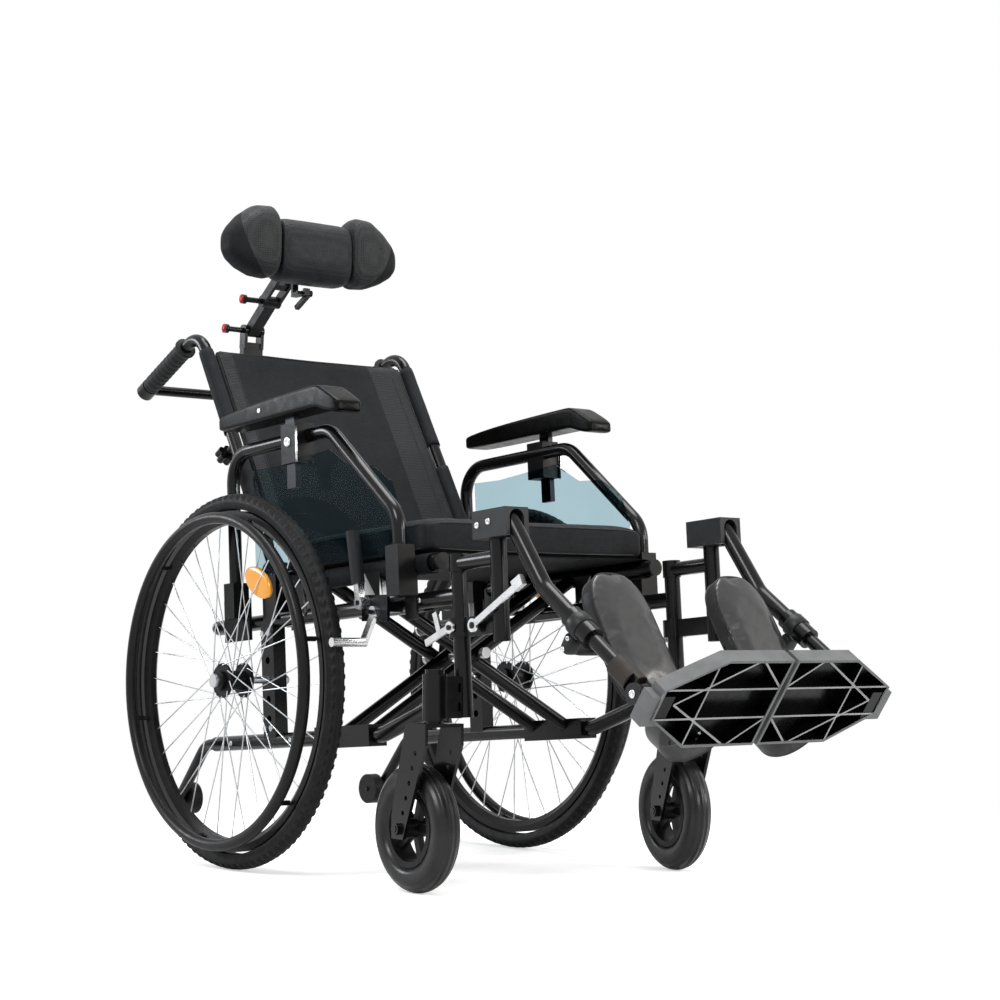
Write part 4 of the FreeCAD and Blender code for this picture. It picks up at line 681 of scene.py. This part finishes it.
class CHAIR_OT_wheels(bpy.types.Operator):
    """Makes the tyres and reflectors and finishes the wheels and casters"""
    bl_idname = "chair.wheels"
    bl_label = "Wheels"

    def execute(self, context):
        sizes = context.scene.chair_sizes
        for name, side in SIDES:
            body = f"{name}_wheel"
            tyre = piece(f"{name}_treaded_tyre", tyre_mesh(side, sizes), "tyre", body)
            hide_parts(f"{name}_tyre")
            paint("coated", f"{name}_handrim", f"{name}_rim")
            paint("spoke", f"{name}_hub_spokes")
            paint("paint", f"{name}_caster_fork")
            paint("nylon", f"{name}_caster_wheel")
            self.two_finishes(f"{name}_hub_spokes", "nylon", lambda away: away < 0.034)
            self.two_finishes(f"{name}_caster_wheel", f"{name}_caster", lambda away: away > 0.0575)
            centre = GROUND.at(77, side * 299.5, 463)
            self.reflector(f"{name}_reflector", centre, side, body)
        return {"FINISHED"}

    def two_finishes(self, node, finish, test):
        """A second finish by distance from the axle, which is square to the wheel's widest faces."""
        low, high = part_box(node)
        middle = (low + high) / 2
        turn = CASTER_TURN[node.split("_")[0]] if "caster" in node else 0.0
        axle = Vector((-math.sin(math.radians(turn)), math.cos(math.radians(turn)), 0))

        def away(point):
            arm = point - middle
            return (arm - axle * arm.dot(axle)).length
        paint_where(finish, node, lambda point: test(away(point)))

    def reflector(self, name, centre, side, body):
        """An oval amber reflector clipped across the spokes."""
        run = Vector((0.9, 0, -0.44)).normalized()
        up = Vector((0, 1, 0)).cross(run)
        out = Vector((0, side, 0))
        rings = []
        for scale, lift in ((0.0, 3.2), (0.55, 3.2), (0.86, 3.0), (0.97, 2.2), (1.0, 0.6), (1.0, -3.0),
                            (0.9, -4.2), (0.0, -4.2)):
            ring = []
            for k in range(32):
                angle = 2 * math.pi * k / 32
                ring.append(centre + run * (0.040 * max(scale, 0.001) * math.cos(angle))
                            + up * (0.0215 * max(scale, 0.001) * math.sin(angle)) + out * (lift / 1000))
            rings.append(ring)
        return piece(name, loft(rings), "amber", body)


class CHAIR_OT_seat(bpy.types.Operator):
    """Makes the seat cushion and the sling under it"""
    bl_idname = "chair.seat"
    bl_label = "Seat"

    def execute(self, context):
        sizes = context.scene.chair_sizes
        base = CHASSIS.at(0, 0, SEAT_W)
        rings = []
        for u, inset, drop in ((45, 10, 6), (49, 4, 2), (60, 1, 0), (140, 2, -3), (240, 3, -4), (340, 2, -3),
                               (428, 1, 0), (438, 4, 2), (442, 10, 6)):
            rings.append(rounded(base + CHASSIS.x * (u / 1000), CHASSIS.y, CHASSIS.z, 226 - inset,
                                 0.2 + max(drop, 0) / 2, 51 - drop, 48, 9.0))
        cushion = piece("seat_cushion_cover", loft(rings), "fabric", None)
        inflated(cushion, sizes.puff, 0.006, 0.007, (base, CHASSIS.z))
        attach(cushion, "frame")
        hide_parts("seat_cushion")
        subdivided(cushion)
        for label, height in (("top", 50), ("bottom", 4)):
            path = []
            for u0, y0, u1, y1, count in ((48, -224, 440, -224, 30), (440, -224, 440, 224, 34),
                                          (440, 224, 48, 224, 30), (48, 224, 48, -224, 34)):
                for k in range(count):
                    share = k / count
                    path.append(CHASSIS.at(u0 + (u1 - u0) * share, y0 + (y1 - y0) * share, SEAT_W + height))
            piped(f"seat_cushion_piping_{label}", cushion, path, sizes.piping, "piping", "frame")
        self.sling()
        return {"FINISHED"}

    def sling(self):
        """Canvas wrapped round both seat rails, slack between them."""
        columns = []
        around = [(-RAIL_Y + 15.2 * math.cos(math.radians(a)), 152 + 15.2 * math.sin(math.radians(a)))
                  for a in range(300, 90, -15)]
        span = [(-RAIL_Y + 2 * RAIL_Y * k / 24, 167.4 - 1.4 * math.sin(math.pi * k / 24))
                for k in range(1, 24)]
        mirrored_end = [(-y, w) for y, w in reversed(around)]
        line = around + span + mirrored_end
        build = bmesh.new()
        for i in range(31):
            u = 52 + (446 - 52) * i / 30
            columns.append([
                build.verts.new(CHASSIS.at(u, y, w - 0.4 * noise.noise(Vector((u / 40, y / 60, 0)))))
                for y, w in line])
        for first, second in zip(columns, columns[1:]):
            for k in range(len(line) - 1):
                build.faces.new((first[k], first[k + 1], second[k + 1], second[k]))
        sling = piece("seat_sling_canvas", build, "sling", "frame")
        thickened(sling, 0.0012, 0)
        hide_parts("seat_sling")


class CHAIR_OT_backrest(bpy.types.Operator):
    """Makes the back upholstery and push grips and finishes the canes"""
    bl_idname = "chair.backrest"
    bl_label = "Backrest"

    def execute(self, context):
        sizes = context.scene.chair_sizes
        paint("paint", "back_canes", "handle_cross_bar")
        panel = self.panel(sizes)
        for name, side in SIDES:
            self.sleeve(name, side)
            self.grip(name, side, sizes)
        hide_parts("back_upholstery")
        return {"FINISHED"}

    def panel(self, sizes):
        """The padded middle of the back, sewn to a mesh band at each edge; the far band reaches further in,
        where its lighter mesh is a painted reflection.
        """
        rings = []
        for t, inset, lift in ((64, 6, 5), (68, 2, 2), (80, 0, 0), (160, 0, -1), (262, 0, -2), (370, 0, -1),
                               (446, 0, 0), (456, 2, 2), (461, 6, 5)):
            rings.append(rounded(BACK.at(0, 0, t), BACK.y, BACK.x, 202 - inset, -7 + lift / 2, 6.5 - lift / 2,
                                 56, 8.0))
        build = loft(rings)
        for vertex in build.verts:
            height = (vertex.co - BACK.origin).dot(BACK.z) * 1000
            vertex.co -= BACK.z * self.sag(vertex.co.y * 1000) * max(height - 300, 0) / 160 / 1000
        panel = piece("back_panel", build, "fabric", None)
        inflated(panel, sizes.puff * 0.8, 0.0022, 0.006)
        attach(panel, "backrest")
        panel.data.materials.append(FINISHES["mesh"])
        for face in panel.data.polygons:
            middle = panel.matrix_world @ face.center
            # Real mesh bands at both edges; on the far side the band runs in to 122 mm instead of 168 mm, so
            # that its lighter mesh stands for a painted reflection of the lights.
            if middle.y < -0.168 or middle.y > 0.122:
                face.material_index = 1
        subdivided(panel)
        for name, side in SIDES:
            for label, y, radius in (("piping", 196, sizes.piping), ("seam", 172, sizes.piping * 0.5)):
                path = [BACK.at(9, side * y, 68 + 388 * k / 40) for k in range(41)]
                piped(f"{name}_back_{label}", panel, path, radius, "piping", "backrest",
                      closed=False)
        path = [BACK.at(3, y, 462 - self.sag(y)) for y in range(-190, 191, 10)]
        piped("back_top_piping", panel, path, sizes.piping, "piping", "backrest", closed=False)
        return panel

    def sag(self, y):
        """How far the top edge hangs down between the canes, in millimetres."""
        return 9 * max(1 - (y / 202) ** 2, 0)

    def sleeve(self, name, side):
        """A tight sleeve of nylon round a cane, with its seam at the back."""
        rings = []
        for k in range(49):
            t = 64 + (456 - 64) * k / 48
            if 240 < t < 284:
                continue
            ring = []
            for n in range(28):
                angle = 2 * math.pi * n / 28
                crease = 0.35 * noise.noise(Vector((t / 22, n / 3.0, side * 3.1)))
                radius = 12.5 + crease
                if k in (0, 48):
                    radius -= 0.5
                ring.append(BACK.at(radius * math.cos(angle), side * RAIL_Y + radius * math.sin(angle), t))
            rings.append((t, ring))
        for label, chosen in (("lower", [r for t, r in rings if t < 262]),
                              ("upper", [r for t, r in rings if t > 262])):
            build = loft(chosen, caps=False)
            made = piece(f"{name}_cane_sleeve_{label}", build, "band", "backrest")
            thickened(made, 0.0009, 1)

    def grip(self, name, side, sizes):
        """A soft push grip with ribs under the fingers."""
        profile = [(11.3, -6), (19, -6), (19.2, -2), (17, 1.5), (15.4, 5)]
        step = 112 / sizes.grip_ribs
        for k in range(sizes.grip_ribs):
            start = 8 + step * k
            profile += [(15.6, start), (16.2, start + step * 0.35), (16.0, start + step * 0.7),
                        (14.8, start + step * 0.92)]
        profile += [(15.6, 122), (15.9, 126), (14.6, 128), (11.3, 128)]
        turned = lathe(HANDLE.at(58, side * RAIL_Y, 0), HANDLE.x, profile, 36)
        made = piece(f"{name}_push_grip", turned, "grip", "backrest")
        if side > 0:
            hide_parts("push_grips")


class CHAIR_OT_headrest(bpy.types.Operator):
    """Makes the headrest's roll and wings and finishes its arms"""
    bl_idname = "chair.headrest"
    bl_label = "Headrest"

    def execute(self, context):
        sizes = context.scene.chair_sizes
        paint("nylon", "headrest_lower_arm", "headrest_upper_arm", "headrest_plate", "headrest_lever")
        up = Vector((0, 0, 1))
        ahead = Vector((1, 0, 0))
        rings = []
        for y, scale in ((-74, 0.86), (-71, 0.95), (-60, 1), (-30, 1), (0, 1), (30, 1), (60, 1), (71, 0.95),
                         (74, 0.86)):
            rings.append(rounded(HEAD.at(0, y, 0), up, ahead, 57 * scale, -39 * scale, 37 * scale, 40, 2.9))
        roll = piece("headrest_roll", loft(rings), "mesh", None)
        inflated(roll, sizes.puff, 0.005, 0.005, (HEAD.at(-41.5, 0, 0), ahead))
        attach(roll, "headrest")
        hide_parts("headrest_cushion")
        subdivided(roll)
        wing = self.wing(sizes)
        copied(wing, "left_headrest_wing", "headrest")
        for label, point, body in (("lower", GROUND.at(-418, -62.3, 950), "backrest"),
                                   ("middle", GROUND.at(-358, -62.3, 998), "headrest_lower_arm")):
            profile = ((6.6, 7), (6.7, 1), (6.1, -1.2), (4, -2.0), (0, -2.2))
            piece(f"headrest_button_{label}", lathe(point, Vector((0, 1, 0)), profile, 28), "red", body)
        return {"FINISHED"}

    def wing(self, sizes):
        """A chunky wedge that stands taller than the roll and falls away outwards, faced with ribbed mesh."""
        sweep = math.radians(4)
        outward = Vector((math.sin(sweep), -math.cos(sweep), 0))
        facing = Vector((math.cos(sweep), math.sin(sweep), 0))
        up = Vector((0, 0, 1))
        root = HEAD.at(-1, -77 - 42 * math.sin(sweep), 0)
        rings = []
        for reach, tall, rear, front, shift in (
                (0, 54, -34, 36, 8), (4, 62, -38, 41, 9), (14, 69, -40, 44, 10), (42, 67, -40, 43, 10),
                (68, 53, -38, 39, 6), (88, 37, -31, 33, 2), (98, 25, -23, 25, 1), (102, 17, -16, 18, 0)):
            rings.append(rounded(root + outward * (reach / 1000) + up * (shift / 1000), up, facing, tall - 4,
                                 rear + 3, front - 5, 40, 3.2))
        wing = piece("right_headrest_wing", loft(rings), "fabric", None)
        inflated(wing, sizes.puff, 0.004, 0.005)
        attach(wing, "headrest")
        wing.data.materials.append(FINISHES["rib_mesh"])
        seam = root + outward * 0.05 + facing * 0.012
        front = (facing * 0.72 - outward * 0.6 + up * 0.34).normalized()
        build = bmesh.new()
        build.from_mesh(wing.data)
        bmesh.ops.bisect_plane(build, geom=build.verts[:] + build.edges[:] + build.faces[:], plane_co=seam,
                               plane_no=front)
        for face in build.faces:
            face.material_index = int((face.calc_center_median() - seam).dot(front) > 0)
        build.to_mesh(wing.data)
        build.free()
        subdivided(wing)
        return wing


class CHAIR_OT_armrests(bpy.types.Operator):
    """Makes the moulded arm pads and finishes their posts"""
    bl_idname = "chair.armrests"
    bl_label = "Armrests"

    def execute(self, context):
        for name, side in SIDES:
            paint("post", f"{name}_arm_post")
            rings = []
            for u, half, low, high, power in (
                    (-43, 20, 420, 434, 5), (-41, 23, 417.5, 437, 7), (-34, 25, 415.5, 440, 8),
                    (40, 26.5, 414.6, 446, 9), (150, 26.5, 414.4, 449, 9), (236, 26.5, 414.4, 450.5, 9),
                    (250, 26.5, 413, 450, 9), (262, 26.5, 408, 444, 9), (284, 26, 401, 431, 8),
                    (300, 24.5, 400.5, 420.5, 7), (304.5, 21.5, 403, 415, 5)):
                rings.append(rounded(CHASSIS.at(u, side * ARM_Y, 0), CHASSIS.y, CHASSIS.z, half, low, high,
                                     40, power))
            pad = piece(f"{name}_moulded_arm_pad", loft(rings), "foam", f"{name}_armrest")
            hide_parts(f"{name}_arm_pad")
            subdivided(pad, 2)
            screw(f"{name}_arm_pad_screw", CHASSIS.at(87, side * 288.0, 432), Vector((0, side, 0)), 4.2,
                  "zinc", f"{name}_armrest")
        return {"FINISHED"}


class CHAIR_OT_legrests(bpy.types.Operator):
    """Makes the calf pads and heel straps and finishes the legrests"""
    bl_idname = "chair.legrests"
    bl_label = "Legrests"

    def execute(self, context):
        sizes = context.scene.chair_sizes
        for name, side in SIDES:
            paint("paint", f"{name}_hanger", f"{name}_leg_tube", f"{name}_foot_tube")
            paint_where("housing", f"{name}_hanger", self.in_block)
            paint_where("knurl", f"{name}_foot_tube", self.on_sleeve)
            paint("footplate", f"{name}_footplate")
            # The rib edges get a painted highlight in pale grey.
            paint_where("rib_edge_highlight", f"{name}_footplate", self.on_rib_edge)
            # The recesses between the ribs get painted shade in near black.
            paint_where("pocket_shade", f"{name}_footplate", self.in_pocket)
            paint_where("housing", f"{name}_footplate", self.on_ankle_cap)
            edged(f"{name}_footplate", 0.0005, 1)
            for u, w in ((577, 193), (603, 196)):
                screw(f"{name}_block_screw_{u}", CHASSIS.at(u, side * 238.0, w), Vector((0, side, 0)), 5.0,
                      "bolt", f"{name}_hanger")
            paint("zinc", f"{name}_latch_lever", f"{name}_release_lever")
            self.strap(name, side)
            screw(f"{name}_ankle_screw", LEG.at(245, side * 231.2, -5), Vector((0, side, 0)), 6.0, "zinc",
                  f"{name}_footplate")
            for y, c in ((30, -56), (96, -57)):
                screw(f"{name}_sole_screw_{y}", LEG.at(266.5, side * y, c), LEG.x, 3.6, "zinc",
                      f"{name}_footplate")
        pad = self.calf_pad(sizes)
        twin = copied(pad, "left_calf_cushion", "left_calf")
        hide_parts("left_calf_pad")
        return {"FINISHED"}

    def in_block(self, point):
        """Whether a point is on the block at the top of a hanger."""
        away = point - CHASSIS.origin
        return 0.172 < away.dot(CHASSIS.z) < 0.215 and away.dot(CHASSIS.x) > 0.565

    def on_sleeve(self, point):
        """Whether a point is on the rubber sleeve at the lower end of a foot tube."""
        away = point - LEG.origin
        off_centre = math.hypot(abs(point.y) - LEG_Y / 1000, away.dot(LEG.z))
        return 0.1845 < away.dot(LEG.x) < 0.2375 and off_centre > 0.013

    def rim_distance(self, point):
        """How far inside the footplate's outline a point lies, in millimetres."""
        y = -abs(point.y) * 1000
        z = (point - LEG.origin).dot(LEG.z) * 1000
        corners = ((-4, 78), (-127, 78), (-222, 30), (-222, -18), (-141, -66), (-4, -66))
        inside = []
        for (y0, z0), (y1, z1) in zip(corners, corners[1:] + corners[:1]):
            inside.append(((z - z0) * (y0 - y1) - (y - y0) * (z0 - z1)) / math.hypot(y1 - y0, z1 - z0) * -1)
        return min(inside)

    def on_rib_edge(self, point):
        """Whether a point is on the edge of a rib under the footplate, where a highlight is painted on in
        pale grey.
        """
        return 0.2857 < (point - LEG.origin).dot(LEG.x) < 0.2866

    def in_pocket(self, point):
        """Whether a point is between the ribs under the footplate, where shade is painted in near black."""
        return 0.2645 < (point - LEG.origin).dot(LEG.x) < 0.2857 and self.rim_distance(point) > 1

    def on_ankle_cap(self, point):
        """Whether a point is on the round cap over the ankle bolt."""
        away = point - LEG.at(245, 0, -5)
        return abs(point.y) > 0.2242 and math.hypot(away.x, away.z) < 0.0165

    def calf_pad(self, sizes):
        """A vinyl pad with a rounded top, a flat back and a welt round its front; its sides are grained."""
        base = -28.7
        rings = []
        stations = ((-101, 16), (-98, 23), (-93, 31), (-85, 40), (-73, 47.5), (-56, 53), (-30, 56.5),
                    (20, 57.5), (70, 55), (90, 51), (97, 46), (99, 40))
        for reach, half in stations:
            trim = 5 if abs(reach) > 95 else 0
            rings.append(rounded(CALF.at(reach + 10, -CALF_Y, 0), CALF.y, CALF.z, half - 1.5,
                                 base + trim * 0.4, base + 33 - trim, 40, 6.5))
        pad = piece("right_calf_cushion", loft(rings), "skin", None)
        inflated(pad, sizes.puff, 0.005, 0.005, (CALF.at(0, 0, base), CALF.z))
        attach(pad, "right_calf")
        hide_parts("right_calf_pad")
        pad.data.materials.append(FINISHES["grained"])
        for face in pad.data.polygons:
            if abs((pad.matrix_world.to_3x3() @ face.normal).dot(CALF.z)) < 0.6:
                face.material_index = 1
        subdivided(pad)
        for label, height in (("front", 29.5), ("rear", 5)):
            path = [CALF.at(r + 10, -CALF_Y - h * 0.985, base + height) for r, h in stations]
            path += [CALF.at(r + 10, -CALF_Y + h * 0.985, base + height) for r, h in reversed(stations)]
            fine = []
            for first, second in zip(path, path[1:] + path[:1]):
                fine += [first.lerp(second, k / 4) for k in range(4)]
            welt = piped(f"right_calf_welt_{label}", pad, fine, sizes.piping * 0.9, "piping", "right_calf")
            copied(welt, f"left_calf_welt_{label}", "left_calf")
        self.calf_bracket()
        return pad

    def casting(self, part, build, smooth=False):
        """One cast piece of the calf brackets, on both sides."""
        made = piece(f"right_calf_{part}", build, "housing", "right_calf")
        if smooth:
            subdivided(made)
        copied(made, f"left_calf_{part}", "left_calf")

    def calf_bracket(self):
        """The cast clamp that swings a calf pad round its leg tube."""
        profile = ((12.7, 0), (18, 0), (18.8, 1.2), (18.8, 18.8), (18, 20), (12.7, 20))
        self.casting("clamp", lathe(CLAMP.at(-10.4, -LEG_Y, 0), CLAMP.x, profile, 40))
        lobe = ((-46, 7, 9), (-43, 9, 12), (-34, 9.6, 12.6), (-26, 9.6, 12.8), (-14.5, 9.6, 13.6))
        self.casting("lobe", loft([
            rounded(CLAMP.at(-0.5, -LEG_Y, z), CLAMP.x, CLAMP.y, long, -half, half, 24, 4)
            for z, long, half in lobe]), smooth=True)
        for z in (-22, -40):
            bolt = screw(f"right_calf_bolt_{-z}", CLAMP.at(-0.5, -227.8, z), Vector((0, -1, 0)), 3.8, "zinc",
                         "right_calf")
            copied(bolt, f"left_calf_bolt_{-z}", "left_calf")
        arm = ((-214, -46, -37), (-190, -46, -37), (-160, -46, -36.5), (-122, -45, -36.2), (-104, -43, -36.2))
        self.casting("arm", loft([rounded(CLAMP.at(-0.5, y, 0), CLAMP.x, CLAMP.z, 9.5, low, high, 24, 5)
                                  for y, low, high in arm]), smooth=True)
        plate = ((-60, 24), (-57, 29), (0, 30), (57, 29), (60, 24))
        self.casting("plate", loft([rounded(CALF.at(x, -CALF_Y, 0), CALF.y, CALF.z, half, -33, -28.9, 24, 8)
                                    for x, half in plate]))

    def strap(self, name, side):
        """A webbing strap looped behind the heel and fixed inside the footplate's rim."""
        middle, half, drop, heel = 96, 66, 60, -52
        radius = (half * half + drop * drop) / (2 * drop)
        sweep = math.asin(min(half / radius, 1.0))
        if drop > radius:
            sweep = math.pi - sweep
        line = []
        for k in range(33):
            angle = -sweep + 2 * sweep * k / 32
            line.append((middle + radius * math.sin(angle), heel - drop + radius - radius * math.cos(angle)))
        build = bmesh.new()
        columns = []
        for along in (224.5, 230, 242, 254, 260.5):
            bulge = 1.2 * math.sin(math.pi * (along - 224) / 37)
            columns.append([build.verts.new(LEG.at(along, side * y, c + (bulge if c < heel else 0)))
                            for y, c in line])
        for first, second in zip(columns, columns[1:]):
            for k in range(32):
                build.faces.new((first[k], first[k + 1], second[k + 1], second[k]))
        made = piece(f"{name}_heel_webbing", build, "webbing", f"{name}_footplate")
        thickened(made, 0.0022, 0)
        subdivided(made)
        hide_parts(f"{name}_heel_strap")


class CHAIR_OT_brakes(bpy.types.Operator):
    """Finishes the brakes"""
    bl_idname = "chair.brakes"
    bl_label = "Brakes"

    def execute(self, context):
        paint("post", "brake_brackets")
        for name, side in SIDES:
            paint("grip", f"{name}_brake_lever")
            pivot = GROUND.at(320, side * 272, 428)
            paint_where("zinc", f"{name}_brake_lever", lambda point: (point - pivot).length < 0.028)
            paint("zinc", f"{name}_brake_shoe")
        return {"FINISHED"}


class CHAIR_OT_stage(bpy.types.Operator):
    """Sets the floor, the backdrop, the lights and the camera"""
    bl_idname = "chair.stage"
    bl_label = "Stage"

    def execute(self, context):
        scene = context.scene
        self.floor(tuple(scene.chair_colours.background))
        self.world(scene)
        for name, place, aim, size, power, tint in (
                ("key", (1.2, -3.0, 3.0), (0, 0, 0.5), 1.4, 90, "#ffffff"),
                ("left", (-2.8, -2.2, 1.6), (0, 0, 0.6), 1.2, 50, "#f4f8ff"),
                ("right", (2.6, 2.8, 1.8), (0.2, 0, 0.4), 1.2, 60, "#fffaf2"),
                ("strip", (3.0, 0.6, 1.3), (0.2, 0, 0.45), 0.35, 30, "#ffffff"),
                ("top", (-0.2, 0.2, 3.4), (0, 0, 0.4), 2.0, 90, "#ffffff")):
            lamp = bpy.data.lights.new(name, "AREA")
            lamp.shape = "DISK"
            lamp.size = size
            lamp.energy = power
            lamp.color = linear(tint)[:3]
            made = bpy.data.objects.new(name, lamp)
            made.location = place
            made.rotation_euler = (Vector(aim) - Vector(place)).to_track_quat("-Z", "Y").to_euler()
            scene.collection.objects.link(made)
        self.camera(scene)
        scene.view_settings.view_transform = "Standard"
        return {"FINISHED"}

    def floor(self, colour):
        """A matt floor that keeps the shadow near the chair and fades into the backdrop away from it."""
        made, tree, shader, place = new_material("matt_studio_floor", {
            "Roughness": 0.9, "Specular IOR Level": 0.05})
        mottled(tree, shader, "Base Color", place, 400, shade_of(colour, 0.97), shade_of(colour, 0.99))
        away = add(tree, "ShaderNodeVectorMath", links={0: place}, operation="LENGTH")
        fade = add(tree, "ShaderNodeMapRange", {"From Min": 0.8, "From Max": 1.7},
                   {"Value": away.outputs["Value"]}, interpolation_type="SMOOTHSTEP")
        rays = add(tree, "ShaderNodeLightPath")
        lift = add(tree, "ShaderNodeMath", {1: 0.45}, {0: rays.outputs["Is Camera Ray"]},
                   operation="MULTIPLY")
        tree.links.new(lift.outputs[0], shader.inputs["Emission Strength"])
        shader.inputs["Emission Color"].default_value = colour
        power = add(tree, "ShaderNodeMapRange", {"To Min": 0.3, "To Max": 1.0}, {"Value": seen_rays(tree)})
        glow = add(tree, "ShaderNodeEmission", {"Color": colour}, {"Strength": power.outputs["Result"]})
        blend = add(tree, "ShaderNodeMixShader", links={
            0: fade.outputs["Result"], 1: shader.outputs["BSDF"], 2: glow.outputs["Emission"]})
        tree.links.new(blend.outputs["Shader"], tree.nodes["Material Output"].inputs["Surface"])
        build = bmesh.new()
        rings = []
        for reach in (0.02, 0.4, 0.9, 1.4, 2, 3, 5, 9, 20, 60):
            rings.append([build.verts.new((reach * math.cos(a), reach * math.sin(a), 0))
                          for a in (2 * math.pi * k / 48 for k in range(48))])
        for first, second in zip(rings, rings[1:]):
            for k in range(48):
                build.faces.new((first[k], second[k], second[(k + 1) % 48], first[(k + 1) % 48]))
        build.faces.new(rings[0])
        mesh = bpy.data.meshes.new("studio_floor")
        build.to_mesh(mesh)
        build.free()
        mesh.materials.append(made)
        floor = bpy.data.objects.new("studio_floor", mesh)
        bpy.context.scene.collection.objects.link(floor)

    def world(self, scene):
        """A white studio that lights the chair softly."""
        world = bpy.data.worlds.new("white_studio")
        scene.world = world
        world.use_nodes = True
        tree = world.node_tree
        tree.nodes.clear()
        strength = add(tree, "ShaderNodeMapRange", {"To Min": 0.35, "To Max": 1.0},
                       {"Value": seen_rays(tree)})
        glow = add(tree, "ShaderNodeBackground", {"Color": (1, 1, 1, 1)},
                   {"Strength": strength.outputs["Result"]})
        add(tree, "ShaderNodeOutputWorld", links={"Surface": glow.outputs["Background"]})

    def camera(self, scene):
        """The camera fitted to the photo."""
        lens = bpy.data.cameras.new("photo_camera")
        lens.sensor_width = 36
        lens.lens = 2159.6 / 1000 * 36
        lens.clip_end = 50
        eye = bpy.data.objects.new("photo_camera", lens)
        turn, tilt, roll = math.radians(50.882), math.radians(3.630), math.radians(0.117)
        ahead = Vector((-math.sin(turn) * math.cos(tilt), math.cos(turn) * math.cos(tilt), math.sin(tilt)))
        right = ahead.cross(Vector((0, 0, 1))).normalized()
        above = right.cross(ahead)
        across = right * math.cos(roll) + above * math.sin(roll)
        above = -right * math.sin(roll) + above * math.cos(roll)
        place = GROUND.at(3009.8, -2185.2, 376.4)
        eye.matrix_world = Matrix((
            (across.x, above.x, -ahead.x, place.x), (across.y, above.y, -ahead.y, place.y),
            (across.z, above.z, -ahead.z, place.z), (0, 0, 0, 1)))
        scene.collection.objects.link(eye)
        scene.camera = eye


class CHAIR_PT_panel(bpy.types.Panel):
    """The chair's pieces and the sizes and colours that can change"""
    bl_idname = "CHAIR_PT_panel"
    bl_label = "Wheelchair"
    bl_space_type = "VIEW_3D"
    bl_region_type = "UI"
    bl_category = "Wheelchair"

    def draw(self, context):
        for group in (context.scene.chair_sizes, context.scene.chair_colours):
            for name in group.__annotations__:
                self.layout.prop(group, name)
        for operator in OPERATORS:
            self.layout.operator(operator.bl_idname)


OPERATORS = (CHAIR_OT_stage, CHAIR_OT_frame, CHAIR_OT_wheels, CHAIR_OT_seat, CHAIR_OT_backrest,
             CHAIR_OT_headrest, CHAIR_OT_armrests, CHAIR_OT_legrests, CHAIR_OT_brakes)
CLASSES = (ChairSizes, ChairColours) + OPERATORS + (CHAIR_PT_panel,)


def register():
    for cls in CLASSES:
        bpy.utils.register_class(cls)
    bpy.types.Scene.chair_sizes = bpy.props.PointerProperty(type=ChairSizes)
    bpy.types.Scene.chair_colours = bpy.props.PointerProperty(type=ChairColours)


def unregister():
    del bpy.types.Scene.chair_colours
    del bpy.types.Scene.chair_sizes
    for cls in reversed(CLASSES):
        bpy.utils.unregister_class(cls)


def main():
    register()
    make_finishes(bpy.context.scene.chair_colours)
    bpy.ops.chair.stage()
    bpy.ops.chair.frame()
    bpy.ops.chair.wheels()
    bpy.ops.chair.seat()
    bpy.ops.chair.backrest()
    bpy.ops.chair.headrest()
    bpy.ops.chair.armrests()
    bpy.ops.chair.legrests()
    bpy.ops.chair.brakes()


if __name__ == "__main__":
    main()
